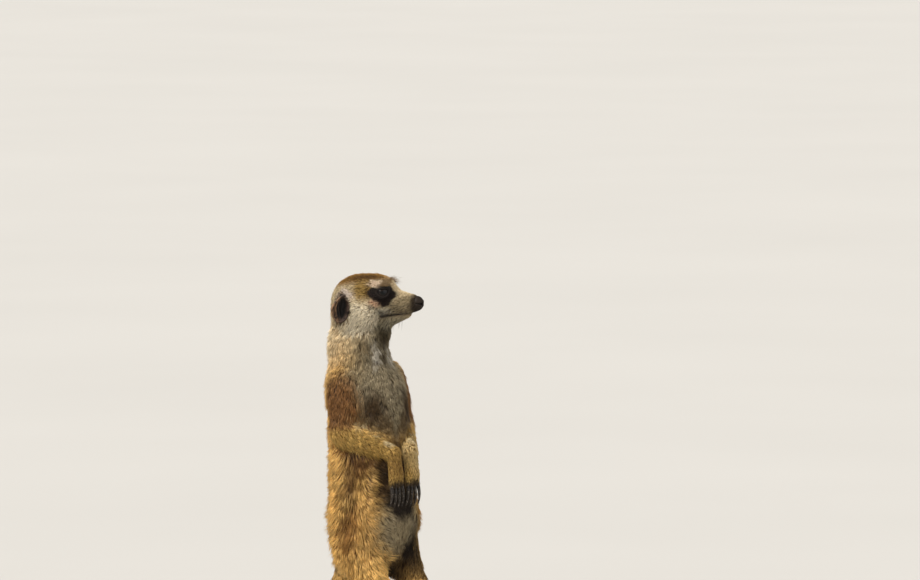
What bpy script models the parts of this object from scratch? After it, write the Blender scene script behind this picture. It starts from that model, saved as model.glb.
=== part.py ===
"""A meerkat standing upright on its hind feet, life size, as a still model.

Metres, +Z up. The animal faces -Y, its left side is +X, and it rests on the floor at
z = 0. The body is a set of rounded masses that run into one another. It is parted
into its natural pieces by thin cuts.
"""

import math
import random

import bmesh
import bpy
import numpy as np
from mathutils import Matrix, Vector
from mathutils.bvhtree import BVHTree

# Driving sizes
STANDING_HEIGHT = 0.315
BODY_UNITS_TALL = 315.0
MM = STANDING_HEIGHT / BODY_UNITS_TALL  # a millimetre of the animal drawn at 315 mm
GAP = 0.0003  # between pieces that meet
HEAD_TURN = math.radians(35)  # of the head to the animal's left
RIGHT, LEFT = -1, 1
SIDE_NAMES = {RIGHT: "right", LEFT: "left"}

# Head, in millimetres forward of the skull's centre, to the left, and up
HEAD_CENTRE = (0, 11, 292)
EYE_PLACE = (16.0, 10.6, 8.0)
EYE_RADIUS = 5.6
EYE_LOOK = (0.50, 0.86, 0.06)
EYE_OPENING = (4.6, 3.1)  # half length and half height between the lids
LID_THICKNESS = 1.0
EAR_PLACE = (-16.5, 21.6, -5.0)
EAR_SIZE = (7.8, 5.4, 11.8)  # half width, depth and half height
EAR_FACING = (0.50, 0.86, -0.05)
EAR_RIM = 1.5
NOSE_PLACE = (44.0, 0, -1.2)
NOSE_SIZE = (4.4, 4.7, 5.8)
MOUTH_CORNER = (15.0, -11.4)  # forward and up
MOUTH_FRONT = (41.2, -8.2)
LIP_GROOVE = 0.95

# Limbs, in millimetres, for the left side; the right one is mirrored in X
SHOULDER = (25, 10, 225)
ELBOW = (32, 4, 187)
WRIST = (9, -38, 171)
KNUCKLES = (8.5, -40.5, 154)
FINGERTIPS = (8.5, -41, 143)
HANDS_ASIDE = -2.5  # the two hands hang a little to the animal's right
HIP = (20, -3, 88)
KNEE = (19.5, -31, 57)
ANKLE = (22, 8, 16)
HEEL = (22, 15, 7)
BALL = (23.5, -25, 4.6)
TOE_TIPS = (24.5, -43, 4.0)
DIGIT_SPREAD = (-1.5, -0.5, 0.5, 1.5)
FRONT_CLAW = (18.0, 1.5)  # length and thickness at the root
HIND_CLAW = (10.0, 1.15)
CLAW_BEND = 0.9  # radians from root to tip
CLAW_RINGS = 3
CLAW_SIDES = 5

# Tail: places on the centre line, in millimetres, from the rump to the tip
TAIL_ROUTE = (
    (0, 14, 82),
    (0, 32, 72),
    (1, 49, 51),
    (3, 61, 27),
    (8, 80, 10),
    (19, 112, 7.0),
    (38, 156, 5.6),
    (61, 192, 3.8),
)
TAIL_THICKNESS = (12.5, 3.6)  # radius at the rump and at the tip
TAIL_LINKS = 18

# Long coat: flat, tapered locks in staggered rows. Torso, thighs and upper arms are
# drawn as the core under them, and the tips of the locks reach farther.
COAT_RISE = 3.8  # from the core to the tips
LOCK_SIZE = (29.0, 15.5, 2.0)  # length, width and thickness
LOCK_PROFILE = ((0.0, 0.6, -2.4), (0.34, 1.0, 1.1), (0.7, 0.8, 2.4))
LOCK_CLEARANCE = 0.45  # from the other pieces
LOCK_LENGTHS = (1.0, 0.78, 0.6, 0.46)  # shares tried, until one touches nothing
COAT_SEED = 7

# Finish of each kind of piece: colour, roughness
FINISHES = {
    "coat": ((0.46, 0.33, 0.19), 0.85),
    "pale_coat": ((0.62, 0.55, 0.44), 0.85),
    "limb_coat": ((0.50, 0.38, 0.20), 0.85),
    "dark_skin": ((0.05, 0.035, 0.025), 0.6),
    "nose_skin": ((0.06, 0.04, 0.03), 0.4),
    "eye": ((0.02, 0.012, 0.008), 0.08),
    "claw": ((0.09, 0.07, 0.055), 0.4),
}


def mm(place):
    """A place in the animal's millimetres, in metres."""
    return np.array(place, float) * MM


def sided(place, side):
    """A place given for the left side, on the side asked for, in metres."""
    x, y, z = place
    return mm((x * side, y, z))


# Head frame
FORWARD = np.array((math.sin(HEAD_TURN), -math.cos(HEAD_TURN), 0))
LEFTWARD = np.array((math.cos(HEAD_TURN), math.sin(HEAD_TURN), 0))
UPWARD = np.array((0, 0, 1.0))
HEAD_AXES = np.array((FORWARD, LEFTWARD, UPWARD))
BODY_AXES = np.identity(3)


def on_head(place):
    """A place in the head's own millimetres, in metres in the model's frame."""
    return mm(HEAD_CENTRE) + mm(place) @ HEAD_AXES


class Mass:
    """A rounded mass of the body: an ellipsoid, or one drawn out to a second one."""

    def __init__(self, at, radii, to=None, to_radii=None, blend=6, head=False):
        self.origin = mm(HEAD_CENTRE) if head else np.zeros(3)
        self.axes = HEAD_AXES if head else BODY_AXES
        self.at = mm(at)
        self.to = self.at if to is None else mm(to)
        self.radii = mm(radii)
        self.to_radii = self.radii if to_radii is None else mm(to_radii)
        self.blend = blend * MM

    def distance(self, points):
        local = (points - self.origin) @ self.axes.T
        along = self.to - self.at
        length = along @ along
        share = np.zeros(len(points))
        if length > 0:
            share = np.clip((local - self.at) @ along / length, 0, 1)
        radii = self.radii + share[:, None] * (self.to_radii - self.radii)
        offset = (local - self.at - share[:, None] * along) / radii
        reach = np.linalg.norm(offset, axis=1)
        slope = np.linalg.norm(offset / radii, axis=1)
        return reach * (reach - 1) / np.maximum(slope, 1e-9)

    def hull_points(self):
        """Points on the two ends, whose convex hull stands for the mass."""
        ball = [v.co.copy() for v in round_ball(2).verts]
        unit = np.array(ball)
        ends = ((self.at, self.radii), (self.to, self.to_radii))
        local = np.concatenate([centre + unit * radii for centre, radii in ends])
        return self.origin + local @ self.axes


def round_ball(subdivisions):
    """A unit icosphere as a bmesh."""
    mesh = bmesh.new()
    bmesh.ops.create_icosphere(mesh, subdivisions=subdivisions, radius=1)
    return mesh


def field(masses, points):
    """Signed distance to the masses run together, negative inside."""
    total = masses[0].distance(points)
    for mass in masses[1:]:
        other = mass.distance(points)
        mix = np.clip(0.5 + 0.5 * (other - total) / mass.blend, 0, 1)
        total = other * (1 - mix) + total * mix - mass.blend * mix * (1 - mix)
    return total


def slope_of(masses, points):
    """The field's gradient."""
    step = 0.05 * MM
    columns = []
    for axis in np.identity(3) * step:
        columns.append(field(masses, points + axis) - field(masses, points - axis))
    return np.stack(columns, axis=1) / (2 * step)


def on_route(route, share):
    """A place at a share of the way along a smooth curve through the route."""
    where = share * (len(route) - 1)
    first = min(int(where), len(route) - 2)
    t = where - first
    last = len(route) - 1
    numbers = [min(max(first + k, 0), last) for k in (-1, 0, 1, 2)]
    before, start, end, after = (np.array(route[n], float) for n in numbers)
    bend = 2 * before - 5 * start + 4 * end - after
    turn = 3 * start - before - 3 * end + after
    return 0.5 * (2 * start + (end - before) * t + bend * t**2 + turn * t**3)


# The masses of the animal
def torso_masses():
    masses = [
        Mass((0, 2, 112), (34.5, 35, 34), (0, 9.5, 206), (30.5, 36.5, 36), blend=12),
        Mass((0, -1.5, 116), (33, 33, 34), blend=12),
        Mass((0, 4, 88), (33, 27, 26), blend=12),
        Mass((0, 10, 88), (22, 24, 24), (0, 36, 66), (12, 12, 12), blend=9),
    ]
    for side in (RIGHT, LEFT):
        masses.append(Mass((14 * side, 10, 219), (17, 20, 21), blend=9))
    return masses


def neck_masses():
    return [
        Mass((-2, 14, 226), (27, 29, 25), (-5, 15, 256), (22, 23.5, 20), blend=12),
        Mass((-5, 15, 256), (22, 23.5, 20), (-5, 16.5, 276), (20, 21, 15), blend=10),
    ]


def head_masses():
    masses = [
        Mass((-3.5, 0, 3), (23.5, 21.5, 19.5), blend=8, head=True),
        Mass((-15, 0, -5), (13, 18.5, 16.5), blend=8, head=True),
        Mass((11.5, 0, 8.6), (15, 14, 13.2), blend=8, head=True),
        Mass((10, 0, -0.2), (13, 14, 15.2), (40.5, 0, -1.1), (5.5, 6.2, 7.7), 6, True),
        Mass((5, 0, -17), (17, 14, 11), (33, 0, -10.0), (5.4, 4.9, 4.4), 3.5, True),
        Mass((5, 0, -25), (15.5, 14, 10), blend=7, head=True),
    ]
    for side in (RIGHT, LEFT):
        masses.append(Mass((-5, 15 * side, -9), (18, 11, 14), blend=7, head=True))
        masses.append(Mass((14, 10.5 * side, 12), (9, 5.5, 4.6), blend=5, head=True))
    return masses


def toe_tip(spread):
    """The end of one toe of the left foot, in millimetres."""
    x, y, z = TOE_TIPS
    return (x + 4.6 * spread, y + 1.4 * abs(spread), z)


def leg_masses(side):
    def place(point):
        return (point[0] * side, point[1], point[2])

    masses = [
        Mass(place(HIP), (16, 20, 22), place(KNEE), (11, 12, 12), blend=9),
        Mass(place(KNEE), (10, 11.5, 11.5), place(ANKLE), (6.4, 7, 7.4), blend=4),
        Mass(place(HEEL), (6.2, 7, 7), place(BALL), (8.8, 8, 5), blend=4),
    ]
    for spread in DIGIT_SPREAD:
        root = (BALL[0] + 3.6 * spread, BALL[1] - 2, BALL[2])
        tip = place(toe_tip(spread))
        masses.append(Mass(place(root), (3.3,) * 3, tip, (2.7, 3.0, 2.6), blend=1.2))
    return masses


def tail_masses():
    thick, thin = TAIL_THICKNESS
    stations = []
    for link in range(TAIL_LINKS + 1):
        share = link / TAIL_LINKS
        radius = thick + (thin - thick) * share**0.8
        x, y, z = on_route(TAIL_ROUTE, share)
        stations.append(((x, y, max(z, radius - 0.8)), (radius,) * 3))
    masses = []
    for (start, thick), (end, thin) in zip(stations, stations[1:]):
        masses.append(Mass(start, thick, end, thin, blend=0.6))
    return masses


def on_hand(point, side, aside=0.0):
    """A place on one hand, in millimetres; aside is along the row of fingers."""
    return (point[0] * side + HANDS_ASIDE + aside, point[1], point[2])


def arm_masses(side):
    shoulder, elbow = ((p[0] * side, p[1], p[2]) for p in (SHOULDER, ELBOW))
    wrist, knuckles = on_hand(WRIST, side), on_hand(KNUCKLES, side)
    masses = [
        Mass(shoulder, (12, 15.5, 17.5), elbow, (8, 9.5, 9), blend=6),
        Mass(elbow, (9, 11, 12), wrist, (6, 5.8, 6.2), blend=4),
        Mass(wrist, (6, 5.2, 5.8), knuckles, (6.6, 4.4, 5), blend=3),
    ]
    for spread in DIGIT_SPREAD:
        root = on_hand(KNUCKLES, side, 3.1 * spread)
        x, y, z = on_hand(FINGERTIPS, side, 3.6 * spread)
        tip = (x, y, z + abs(spread))
        masses.append(Mass(root, (2.2, 2.7, 2.7), tip, (1.9,) * 3, blend=1.2))
    return masses


# Mesh helpers
def add_object(name, mesh):
    obj = bpy.data.objects.new(name, mesh)
    bpy.context.scene.collection.objects.link(obj)
    return obj


def from_bmesh(name, source, turn_out=False):
    """An object of the source mesh, with its faces turned outwards if asked."""
    if turn_out:
        bmesh.ops.recalc_face_normals(source, faces=source.faces)
    mesh = bpy.data.meshes.new(name)
    source.to_mesh(mesh)
    source.free()
    return add_object(name, mesh)


def discard(obj):
    bpy.data.objects.remove(obj)


def settle(obj):
    """Applies the object's modifiers to its mesh."""
    graph = bpy.context.evaluated_depsgraph_get()
    mesh = bpy.data.meshes.new_from_object(obj.evaluated_get(graph))
    obj.modifiers.clear()
    obj.data = mesh
    return obj


def vertices_of(obj):
    flat = np.empty(len(obj.data.vertices) * 3)
    obj.data.vertices.foreach_get("co", flat)
    return flat.reshape(-1, 3)


def set_vertices(obj, points):
    obj.data.vertices.foreach_set("co", points.ravel())
    obj.data.update()


def smoothed(obj, points, share):
    """The points moved towards the mean of their neighbours."""
    edges = np.empty(len(obj.data.edges) * 2, int)
    obj.data.edges.foreach_get("vertices", edges)
    first, second = edges.reshape(-1, 2).T
    total = np.zeros_like(points)
    np.add.at(total, first, points[second])
    np.add.at(total, second, points[first])
    count = np.bincount(np.concatenate([first, second]), minlength=len(points))
    return points + share * (total / count[:, None] - points)


def skin(name, masses, seeds, voxel, triangles):
    """A closed mesh on the surface where the masses run together."""
    hulls = bmesh.new()
    for mass in seeds:
        verts = [hulls.verts.new(point) for point in mass.hull_points()]
        made = bmesh.ops.convex_hull(hulls, input=verts)
        inner = [v for v in made["geom_interior"] if isinstance(v, bmesh.types.BMVert)]
        bmesh.ops.delete(hulls, geom=inner, context="VERTS")
    obj = from_bmesh(name, hulls, turn_out=True)
    remesh = obj.modifiers.new("skin", "REMESH")
    remesh.mode = "VOXEL"
    remesh.voxel_size = voxel * MM
    settle(obj)
    points = vertices_of(obj)
    for _ in range(4):
        points = smoothed(obj, points, 0.5)
        for _ in range(3):
            slope = slope_of(masses, points)
            step = field(masses, points) / np.maximum((slope**2).sum(1), 0.05)
            step = np.clip(step, -voxel * MM, voxel * MM)
            points = points - step[:, None] * slope
    set_vertices(obj, points)
    decimate = obj.modifiers.new("fewer", "DECIMATE")
    decimate.ratio = triangles / (2 * len(obj.data.polygons))
    return settle(obj)


def boolean(obj, other, operation):
    """Joins or cuts obj by other, which is then removed."""
    modifier = obj.modifiers.new(operation.lower(), "BOOLEAN")
    modifier.operation = operation
    modifier.solver = "MANIFOLD"
    modifier.object = other
    settle(obj)
    discard(other)
    return obj


def swollen(obj, by):
    """A copy of obj with its surface moved out."""
    copy = add_object(obj.name + "_swollen", obj.data.copy())
    normals = np.empty(len(copy.data.vertices) * 3)
    copy.data.vertices.foreach_get("normal", normals)
    set_vertices(copy, vertices_of(copy) + by * normals.reshape(-1, 3))
    return copy


def islands(obj):
    """The separate closed surfaces of obj, as lists of vertex numbers."""
    count = len(obj.data.vertices)
    links = [[] for _ in range(count)]
    for edge in obj.data.edges:
        first, second = edge.vertices
        links[first].append(second)
        links[second].append(first)
    seen = [False] * count
    found = []
    for start in range(count):
        if seen[start]:
            continue
        seen[start] = True
        group, waiting = [], [start]
        while waiting:
            vertex = waiting.pop()
            group.append(vertex)
            for other in links[vertex]:
                if not seen[other]:
                    seen[other] = True
                    waiting.append(other)
        found.append(group)
    return found


def keep_group(obj, name, group):
    """A new object of one of obj's separate surfaces."""
    source = bmesh.new()
    source.from_mesh(obj.data)
    source.verts.ensure_lookup_table()
    kept = set(group)
    dropped = [v for v in source.verts if v.index not in kept]
    bmesh.ops.delete(source, geom=dropped, context="VERTS")
    return from_bmesh(name, source)


def keep_largest(obj):
    """Leaves only the largest of obj's separate surfaces."""
    name = obj.name
    obj.name = name + "_all"
    largest = max(islands(obj), key=len)
    kept = keep_group(obj, name, largest)
    kept.name = name
    discard(obj)
    return kept


def blade(centre, normal, half_width, half_height, up=(0, 0, 1)):
    """A thin plate across the body, as wide as the gap between two pieces."""
    across = Vector(normal).normalized()
    side = Vector(up).cross(across).normalized()
    upright = across.cross(side)
    plate = bmesh.new()
    bmesh.ops.create_cube(plate, size=2)
    size = Matrix.Diagonal((GAP / 2, half_width * MM, half_height * MM, 1))
    turn = Matrix((across, side, upright)).transposed().to_4x4()
    place = Matrix.Translation(Vector(mm(centre)))
    bmesh.ops.transform(plate, matrix=place @ turn @ size, verts=plate.verts)
    return plate


def part_by(obj, plates, places):
    """Cuts obj by the plates and names each piece by the nearest of the places."""
    for plate in plates:
        boolean(obj, from_bmesh("knife", plate), "DIFFERENCE")
    points = vertices_of(obj)
    biggest = {}
    for group in islands(obj):
        middle = points[group].mean(0)
        name = min(places, key=lambda key: np.linalg.norm(middle - mm(places[key])))
        if len(group) > len(biggest.get(name, ())):
            biggest[name] = group
    pieces = {name: keep_group(obj, name, group) for name, group in biggest.items()}
    discard(obj)
    return pieces


def half_kept(obj, centre, normal):
    """Keeps the side of obj that the normal points to, closed by a flat face."""
    source = bmesh.new()
    source.from_mesh(obj.data)
    geometry = source.verts[:] + source.edges[:] + source.faces[:]
    cut = bmesh.ops.bisect_plane(
        source, geom=geometry, plane_co=centre, plane_no=normal, clear_inner=True
    )
    edges = [e for e in cut["geom_cut"] if isinstance(e, bmesh.types.BMEdge)]
    bmesh.ops.holes_fill(source, edges=edges)
    bmesh.ops.triangulate(source, faces=source.faces)
    source.to_mesh(obj.data)
    source.free()
    return obj


# The trunk, legs and tail
NECK_TOP = ((-5, 13, 266), (0.10, -0.28, 1.0))
NECK_BASE = ((-1, 10, 243), (0, -0.2, 1.0))
HIP_CUT = ((4.0, 48.0), math.radians(60))  # lower end in X and Z, and slope


def trunk_pieces():
    masses = torso_masses() + neck_masses() + head_masses()
    masses += leg_masses(RIGHT) + leg_masses(LEFT) + tail_masses()
    whole = skin("whole", masses, masses, voxel=2.2, triangles=3150)
    half_kept(whole, (0, 0, 0), (0, 0, 1))
    plates = [
        blade(NECK_TOP[0], NECK_TOP[1], 60, 60, up=(0, 1, 0)),
        blade(NECK_BASE[0], NECK_BASE[1], 60, 60, up=(0, 1, 0)),
        blade((0, 37, 67), (0, 0.76, -0.65), 24, 17),
        blade((3.5, 63, 24), (0.12, 0.50, -0.86), 18, 18),
        blade((29, 136, 6), (0.42, 0.9, 0), 18, 18),
        blade((0, KNEE[1] + 7, KNEE[2] - 0.5), (0, -0.04, 1.0), 42, 29, up=(0, 1, 0)),
        blade((0, ANKLE[1] + 2, ANKLE[2] - 1.2), (0, 0.1, 1.0), 42, 18, up=(0, 1, 0)),
    ]
    places = {
        "spare_head": (5, 5, 292),
        "neck": (-3, 13, 253),
        "torso": (0, 4, 155),
        "tail_base": (1, 47, 50),
        "tail_middle": (14, 95, 9),
        "tail_tip": (48, 168, 5),
    }
    for side in (RIGHT, LEFT):
        label = SIDE_NAMES[side]
        (aside, low), angle = HIP_CUT
        slope = (side * math.cos(angle), 0, math.sin(angle))
        normal = (-side * math.sin(angle), 0, math.cos(angle))
        half = 39.0
        centre = (side * aside + slope[0] * half, -14, low + slope[2] * half)
        plates.append(blade(centre, normal, 47, half, up=slope))
        places["thigh_" + label] = (22 * side, -12, 74)
        places["shank_" + label] = (22 * side, -8, 34)
        places["foot_" + label] = (24 * side, -8, 6)
    pieces = part_by(whole, plates, places)
    discard(pieces.pop("spare_head"))
    return pieces


def head_piece():
    masses = torso_masses() + neck_masses() + head_masses()
    seeds = neck_masses() + head_masses()
    head = skin("head", masses, seeds, voxel=1.4, triangles=2200)
    up = Vector(NECK_TOP[1]).normalized()
    above = Vector(mm(NECK_TOP[0])) + up * GAP / 2
    return half_kept(head, above, up)


def arm_pieces(side, trunk):
    label = SIDE_NAMES[side]
    masses = arm_masses(side)
    arm = skin("arm", masses, masses, voxel=1.4, triangles=620)
    for piece in trunk:
        boolean(arm, swollen(piece, GAP), "DIFFERENCE")
    elbow = (ELBOW[0] * side, ELBOW[1] - 5, ELBOW[2] + 1)
    x, y, z = on_hand(WRIST, side)
    wrist = (x, y, z - 4.5)
    plates = [
        blade(elbow, (side * 0.45, 0.55, 0.75), 20, 20),
        blade(wrist, (0, 0.15, 1.0), 14, 14, up=(0, 1, 0)),
    ]
    places = {
        "upper_arm_" + label: (33 * side, 6, 212),
        "forearm_" + label: (21 * side, -20, 181),
        "hand_" + label: on_hand(KNUCKLES, side),
    }
    return part_by(arm, plates, places)


# What sits on the head
def ball(name, centre, radii, axes=BODY_AXES, segments=16, rings=10):
    """An ellipsoid whose own axes are the rows of axes, in metres."""
    source = bmesh.new()
    bmesh.ops.create_uvsphere(source, u_segments=segments, v_segments=rings, radius=1)
    size = Matrix.Diagonal((*radii, 1))
    turn = Matrix(axes.tolist()).transposed().to_4x4()
    place = Matrix.Translation(Vector(centre))
    bmesh.ops.transform(source, matrix=place @ turn @ size, verts=source.verts)
    return from_bmesh(name, source)


def facing_axes(direction, side):
    """Rows: along the animal, out of the head, and up, for a feature on one side."""
    ahead, out, up = direction
    outward = np.array((ahead, out * side, up)) @ HEAD_AXES
    outward = outward / np.linalg.norm(outward)
    along = np.cross(UPWARD, outward)
    along = along / np.linalg.norm(along)
    return np.array((along, outward, np.cross(along, outward)))


def head_side(place, side):
    return on_head((place[0], place[1] * side, place[2]))


def eye_and_lids(head, side):
    """Fits an eyeball under lids that leave an almond opening."""
    centre = head_side(EYE_PLACE, side)
    axes = facing_axes(EYE_LOOK, side)
    lid_radius = (EYE_RADIUS + LID_THICKNESS) * MM
    boolean(head, ball("lids", centre, (lid_radius,) * 3, axes, 20, 14), "UNION")
    half_length, half_height = EYE_OPENING
    reach = 2.2 * EYE_RADIUS
    opening = mm((half_length, reach, half_height))
    ahead = centre + axes[1] * reach * MM
    boolean(head, ball("opening", ahead, opening, axes, 16, 12), "DIFFERENCE")
    socket = EYE_RADIUS * MM + GAP
    boolean(head, ball("socket", centre, (socket,) * 3, axes, 12, 8), "DIFFERENCE")
    return ball("eye_" + SIDE_NAMES[side], centre, (EYE_RADIUS * MM,) * 3, axes, 12, 8)


def lip_side(masses, side):
    """Places along one lip, from the corner of the mouth to the front."""
    places = []
    for share in np.linspace(0, 1, 8):
        ahead = MOUTH_CORNER[0] + share * (MOUTH_FRONT[0] - MOUTH_CORNER[0])
        up = MOUTH_CORNER[1] + share * (MOUTH_FRONT[1] - MOUTH_CORNER[1])
        near, far = 0.0, 30.0
        for _ in range(20):
            middle = (near + far) / 2
            inside = field(masses, on_head((ahead, middle * side, up))[None])[0] < 0
            near, far = (middle, far) if inside else (near, middle)
        places.append(on_head((ahead, near * side, up)))
    return places


def tube(name, places, radius, sides=2):
    """A closed tube along the places, in metres."""
    curve = bpy.data.curves.new(name, "CURVE")
    curve.dimensions = "3D"
    curve.bevel_depth = radius
    curve.bevel_resolution = sides
    curve.use_fill_caps = True
    spline = curve.splines.new("POLY")
    spline.points.add(len(places) - 1)
    for point, place in zip(spline.points, places):
        point.co = (*place, 1)
    made = add_object(name, curve)
    graph = bpy.context.evaluated_depsgraph_get()
    mesh = bpy.data.meshes.new_from_object(made.evaluated_get(graph))
    discard(made)
    source = bmesh.new()
    source.from_mesh(mesh)
    bmesh.ops.remove_doubles(source, verts=source.verts, dist=1e-6)
    return from_bmesh(name, source, turn_out=True)


def cut_mouth(head):
    masses = head_masses()
    right, left = lip_side(masses, RIGHT), lip_side(masses, LEFT)
    front = on_head((MOUTH_FRONT[0] + 2.2, 0, MOUTH_FRONT[1] + 0.4))
    lips = tube("lips", right + [front] + left[::-1], LIP_GROOVE * MM)
    boolean(head, lips, "DIFFERENCE")


def nose_piece(head):
    centre = on_head(NOSE_PLACE)
    nose = ball("nose", centre, mm(NOSE_SIZE), HEAD_AXES, 12, 8)
    boolean(nose, swollen(head, GAP), "DIFFERENCE")
    for side in (RIGHT, LEFT):
        axes = facing_axes((1.0, 0.75, 0.1), side)
        place = head_side((47.2, 3.1, 0.2), side)
        boolean(nose, ball("nostril", place, mm((1.0, 2.6, 1.5)), axes, 6, 5), "DIFFERENCE")
    return keep_largest(nose)


def ear_piece(head, side):
    """A low cup with a ridge inside it, in a hollow that opens forwards and outwards."""
    axes = facing_axes(EAR_FACING, side)
    centre = head_side(EAR_PLACE, side)
    width, depth, height = EAR_SIZE
    room = centre + mm((0, 8, 0)) @ axes
    room_size = mm((1.12 * width, 11.2, 1.08 * height))
    boolean(head, ball("room", room, room_size, axes, 16, 10), "DIFFERENCE")
    ear = ball("ear_" + SIDE_NAMES[side], centre, mm(EAR_SIZE), axes, 16, 10)
    hollow = centre + mm((0, depth, 0)) @ axes
    inner = mm((width - EAR_RIM, 1.5 * depth, height - 1.3 * EAR_RIM))
    boolean(ear, ball("cup", hollow, inner, axes, 12, 8), "DIFFERENCE")
    ridge = centre + mm((-0.2 * width * side, -0.3 * depth, -1.0)) @ axes
    boolean(ear, ball("ridge", ridge, mm((1.2, 2.6, 7)), axes, 8, 6), "UNION")
    boolean(ear, swollen(head, GAP), "DIFFERENCE")
    return keep_largest(ear)


# Claws
def claw(name, root, direction, curl, size):
    """A tapering claw, whose tip bends from its direction towards curl."""
    length, thickness = mm(size)
    direction = np.array(direction, float) / np.linalg.norm(direction)
    curl = np.array(curl, float) / np.linalg.norm(curl)
    side = np.cross(direction, curl)
    source = bmesh.new()

    def centre(share):
        bend = CLAW_BEND * share
        ahead = direction * math.sin(bend) + curl * (1 - math.cos(bend))
        return root + length / CLAW_BEND * ahead

    loops = []
    for ring in range(CLAW_RINGS):
        share = ring / CLAW_RINGS
        bend = CLAW_BEND * share
        upright = curl * math.cos(bend) - direction * math.sin(bend)
        radius = thickness * (1 - 0.75 * share)
        loop = []
        for turn in range(CLAW_SIDES):
            angle = 2 * math.pi * turn / CLAW_SIDES
            offset = 0.8 * side * math.cos(angle) + 1.25 * upright * math.sin(angle)
            loop.append(source.verts.new(centre(share) + radius * offset))
        loops.append(loop)
    tip = source.verts.new(centre(1))
    for turn in range(CLAW_SIDES):
        after = (turn + 1) % CLAW_SIDES
        for lower, upper in zip(loops, loops[1:]):
            source.faces.new((lower[turn], lower[after], upper[after], upper[turn]))
        source.faces.new((loops[-1][turn], loops[-1][after], tip))
    source.faces.new(loops[0][::-1])
    return from_bmesh(name, source, turn_out=True)


def claw_pieces(side, hand, foot):
    claws = {}
    label = SIDE_NAMES[side]
    for number, spread in enumerate(DIGIT_SPREAD, 1):
        x, y, z = on_hand(FINGERTIPS, side, 3.6 * spread)
        front = f"front_claw_{label}_{number}"
        root = mm((x, y, z + abs(spread)))
        claws[front] = claw(front, root, (0.05 * spread, -0.4, -1), (0, 1, -0.4), FRONT_CLAW)
        x, y, z = toe_tip(spread)
        hind = f"hind_claw_{label}_{number}"
        root = sided((x, y, z + 1), side)
        lean = 0.10 * spread * side
        claws[hind] = claw(hind, root, (lean, -1, 0.12), (0, -0.1, -1), HIND_CLAW)
        for name, flesh in ((front, hand), (hind, foot)):
            boolean(claws[name], swollen(flesh, GAP), "DIFFERENCE")
            claws[name] = keep_largest(claws[name])
    return claws


# Locks of the long coat
def surface_tree(obj, by=0.0):
    """A search tree of obj's surface, moved out by a distance."""
    normals = np.empty(len(obj.data.vertices) * 3)
    obj.data.vertices.foreach_get("normal", normals)
    points = vertices_of(obj) + by * normals.reshape(-1, 3)
    faces = [tuple(face.vertices) for face in obj.data.polygons]
    return BVHTree.FromPolygons(points.tolist(), faces)


def lock(tree, root, lie, size, bend):
    """A flat, tapered lock that follows the surface below it."""
    length, width, thickness = size
    stations = []
    for share, broad, height in LOCK_PROFILE + ((1.0, 0.0, COAT_RISE),):
        veer = Vector(lie).cross(tree.find_nearest(root)[1]) * bend * share**2
        spot, normal, _, _ = tree.find_nearest(root + (Vector(lie) + veer) * length * share)
        centre = spot + normal * height * MM
        stations.append((centre, normal, broad * width / 2))
    source = bmesh.new()
    loops = []
    for (centre, normal, half), (ahead, _, _) in zip(stations, stations[1:]):
        along = (ahead - centre).normalized()
        across = along.cross(normal).normalized() * half
        above = across.cross(along).normalized() * thickness / 2
        corners = (centre + across, centre + above, centre - across, centre - above)
        loops.append([source.verts.new(corner) for corner in corners])
    tip = source.verts.new(stations[-1][0])
    for n in range(4):
        after = (n + 1) % 4
        for near, far in zip(loops, loops[1:]):
            source.faces.new((near[n], near[after], far[after]))
            source.faces.new((near[n], far[after], far[n]))
        source.faces.new((loops[-1][n], loops[-1][after], tip))
    source.faces.new(loops[0][::-1])
    return from_bmesh("lock", source, turn_out=True)


def coat_fields():
    """Where locks grow, by node: the axis of the rows and how many there are, the
    arc in degrees from the front round by the left side, the lie of the hair, how
    much it fans to the back and the front from the middle of each flank, and the
    size of the locks as a share of the torso's."""
    fields = {"torso": ((0, 8, 240), (0, 4, 84), 8, (56, 304), (0, 0, -1), 0.30, 1.0)}
    for side, arm_arc, leg_arc in ((LEFT, (15, 165), (20, 175)), (RIGHT, (195, 345), (185, 340))):
        top, elbow = sided(SHOULDER, side) / MM, sided(ELBOW, side) / MM
        hip, knee = sided(HIP, side) / MM, sided(KNEE, side) / MM
        arm = top + (0, 0, 6), elbow + (0, 0, 9)
        leg = hip + (0, 0, 4), knee + (0, 6, 12)
        fields["upper_arm_" + SIDE_NAMES[side]] = (*arm, 3, arm_arc, (0, -0.2, -1), 0, 0.7)
        fields["thigh_" + SIDE_NAMES[side]] = (*leg, 3, leg_arc, (0, 0.1, -1), 0.15, 0.8)
    return fields


def seen_from_outside(tree, centre, angle):
    """The outermost place on the surface, level with centre and at an angle."""
    out = Vector((math.sin(angle), -math.cos(angle), 0))
    hit, normal, _, _ = tree.ray_cast(centre + out * BODY_UNITS_TALL * MM, -out)
    return hit, normal


def lock_roots(tree, field_of_coat, rng):
    """Places and lie of the locks of one field: rows down its axis, staggered."""
    start, end, rows, arc, lie, fan, scale = field_of_coat
    start, end = Vector(mm(start)), Vector(mm(end))
    first, last = (math.radians(angle) for angle in arc)
    roots = []
    for row in range(rows):
        centre = start.lerp(end, row / max(rows - 1, 1))
        middle = (first + last) / 2
        hit = seen_from_outside(tree, centre, middle)[0] or centre
        around = (last - first) * (hit - centre).length
        count = round(around / (0.85 * LOCK_SIZE[1] * scale * MM))
        for n in range(count):
            share = (n + 0.25 + 0.5 * (row % 2)) / count
            angle = first + (last - first) * share + rng.uniform(-0.05, 0.05)
            hit, normal = seen_from_outside(tree, centre, angle)
            if hit is None:
                continue
            turn = fan if math.cos(angle) < 0.15 else -fan
            way = Vector(lie) + Vector((0, turn, 0))
            way = (way - way.dot(normal) * normal).normalized()
            roots.append((hit, way))
    return roots


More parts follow.
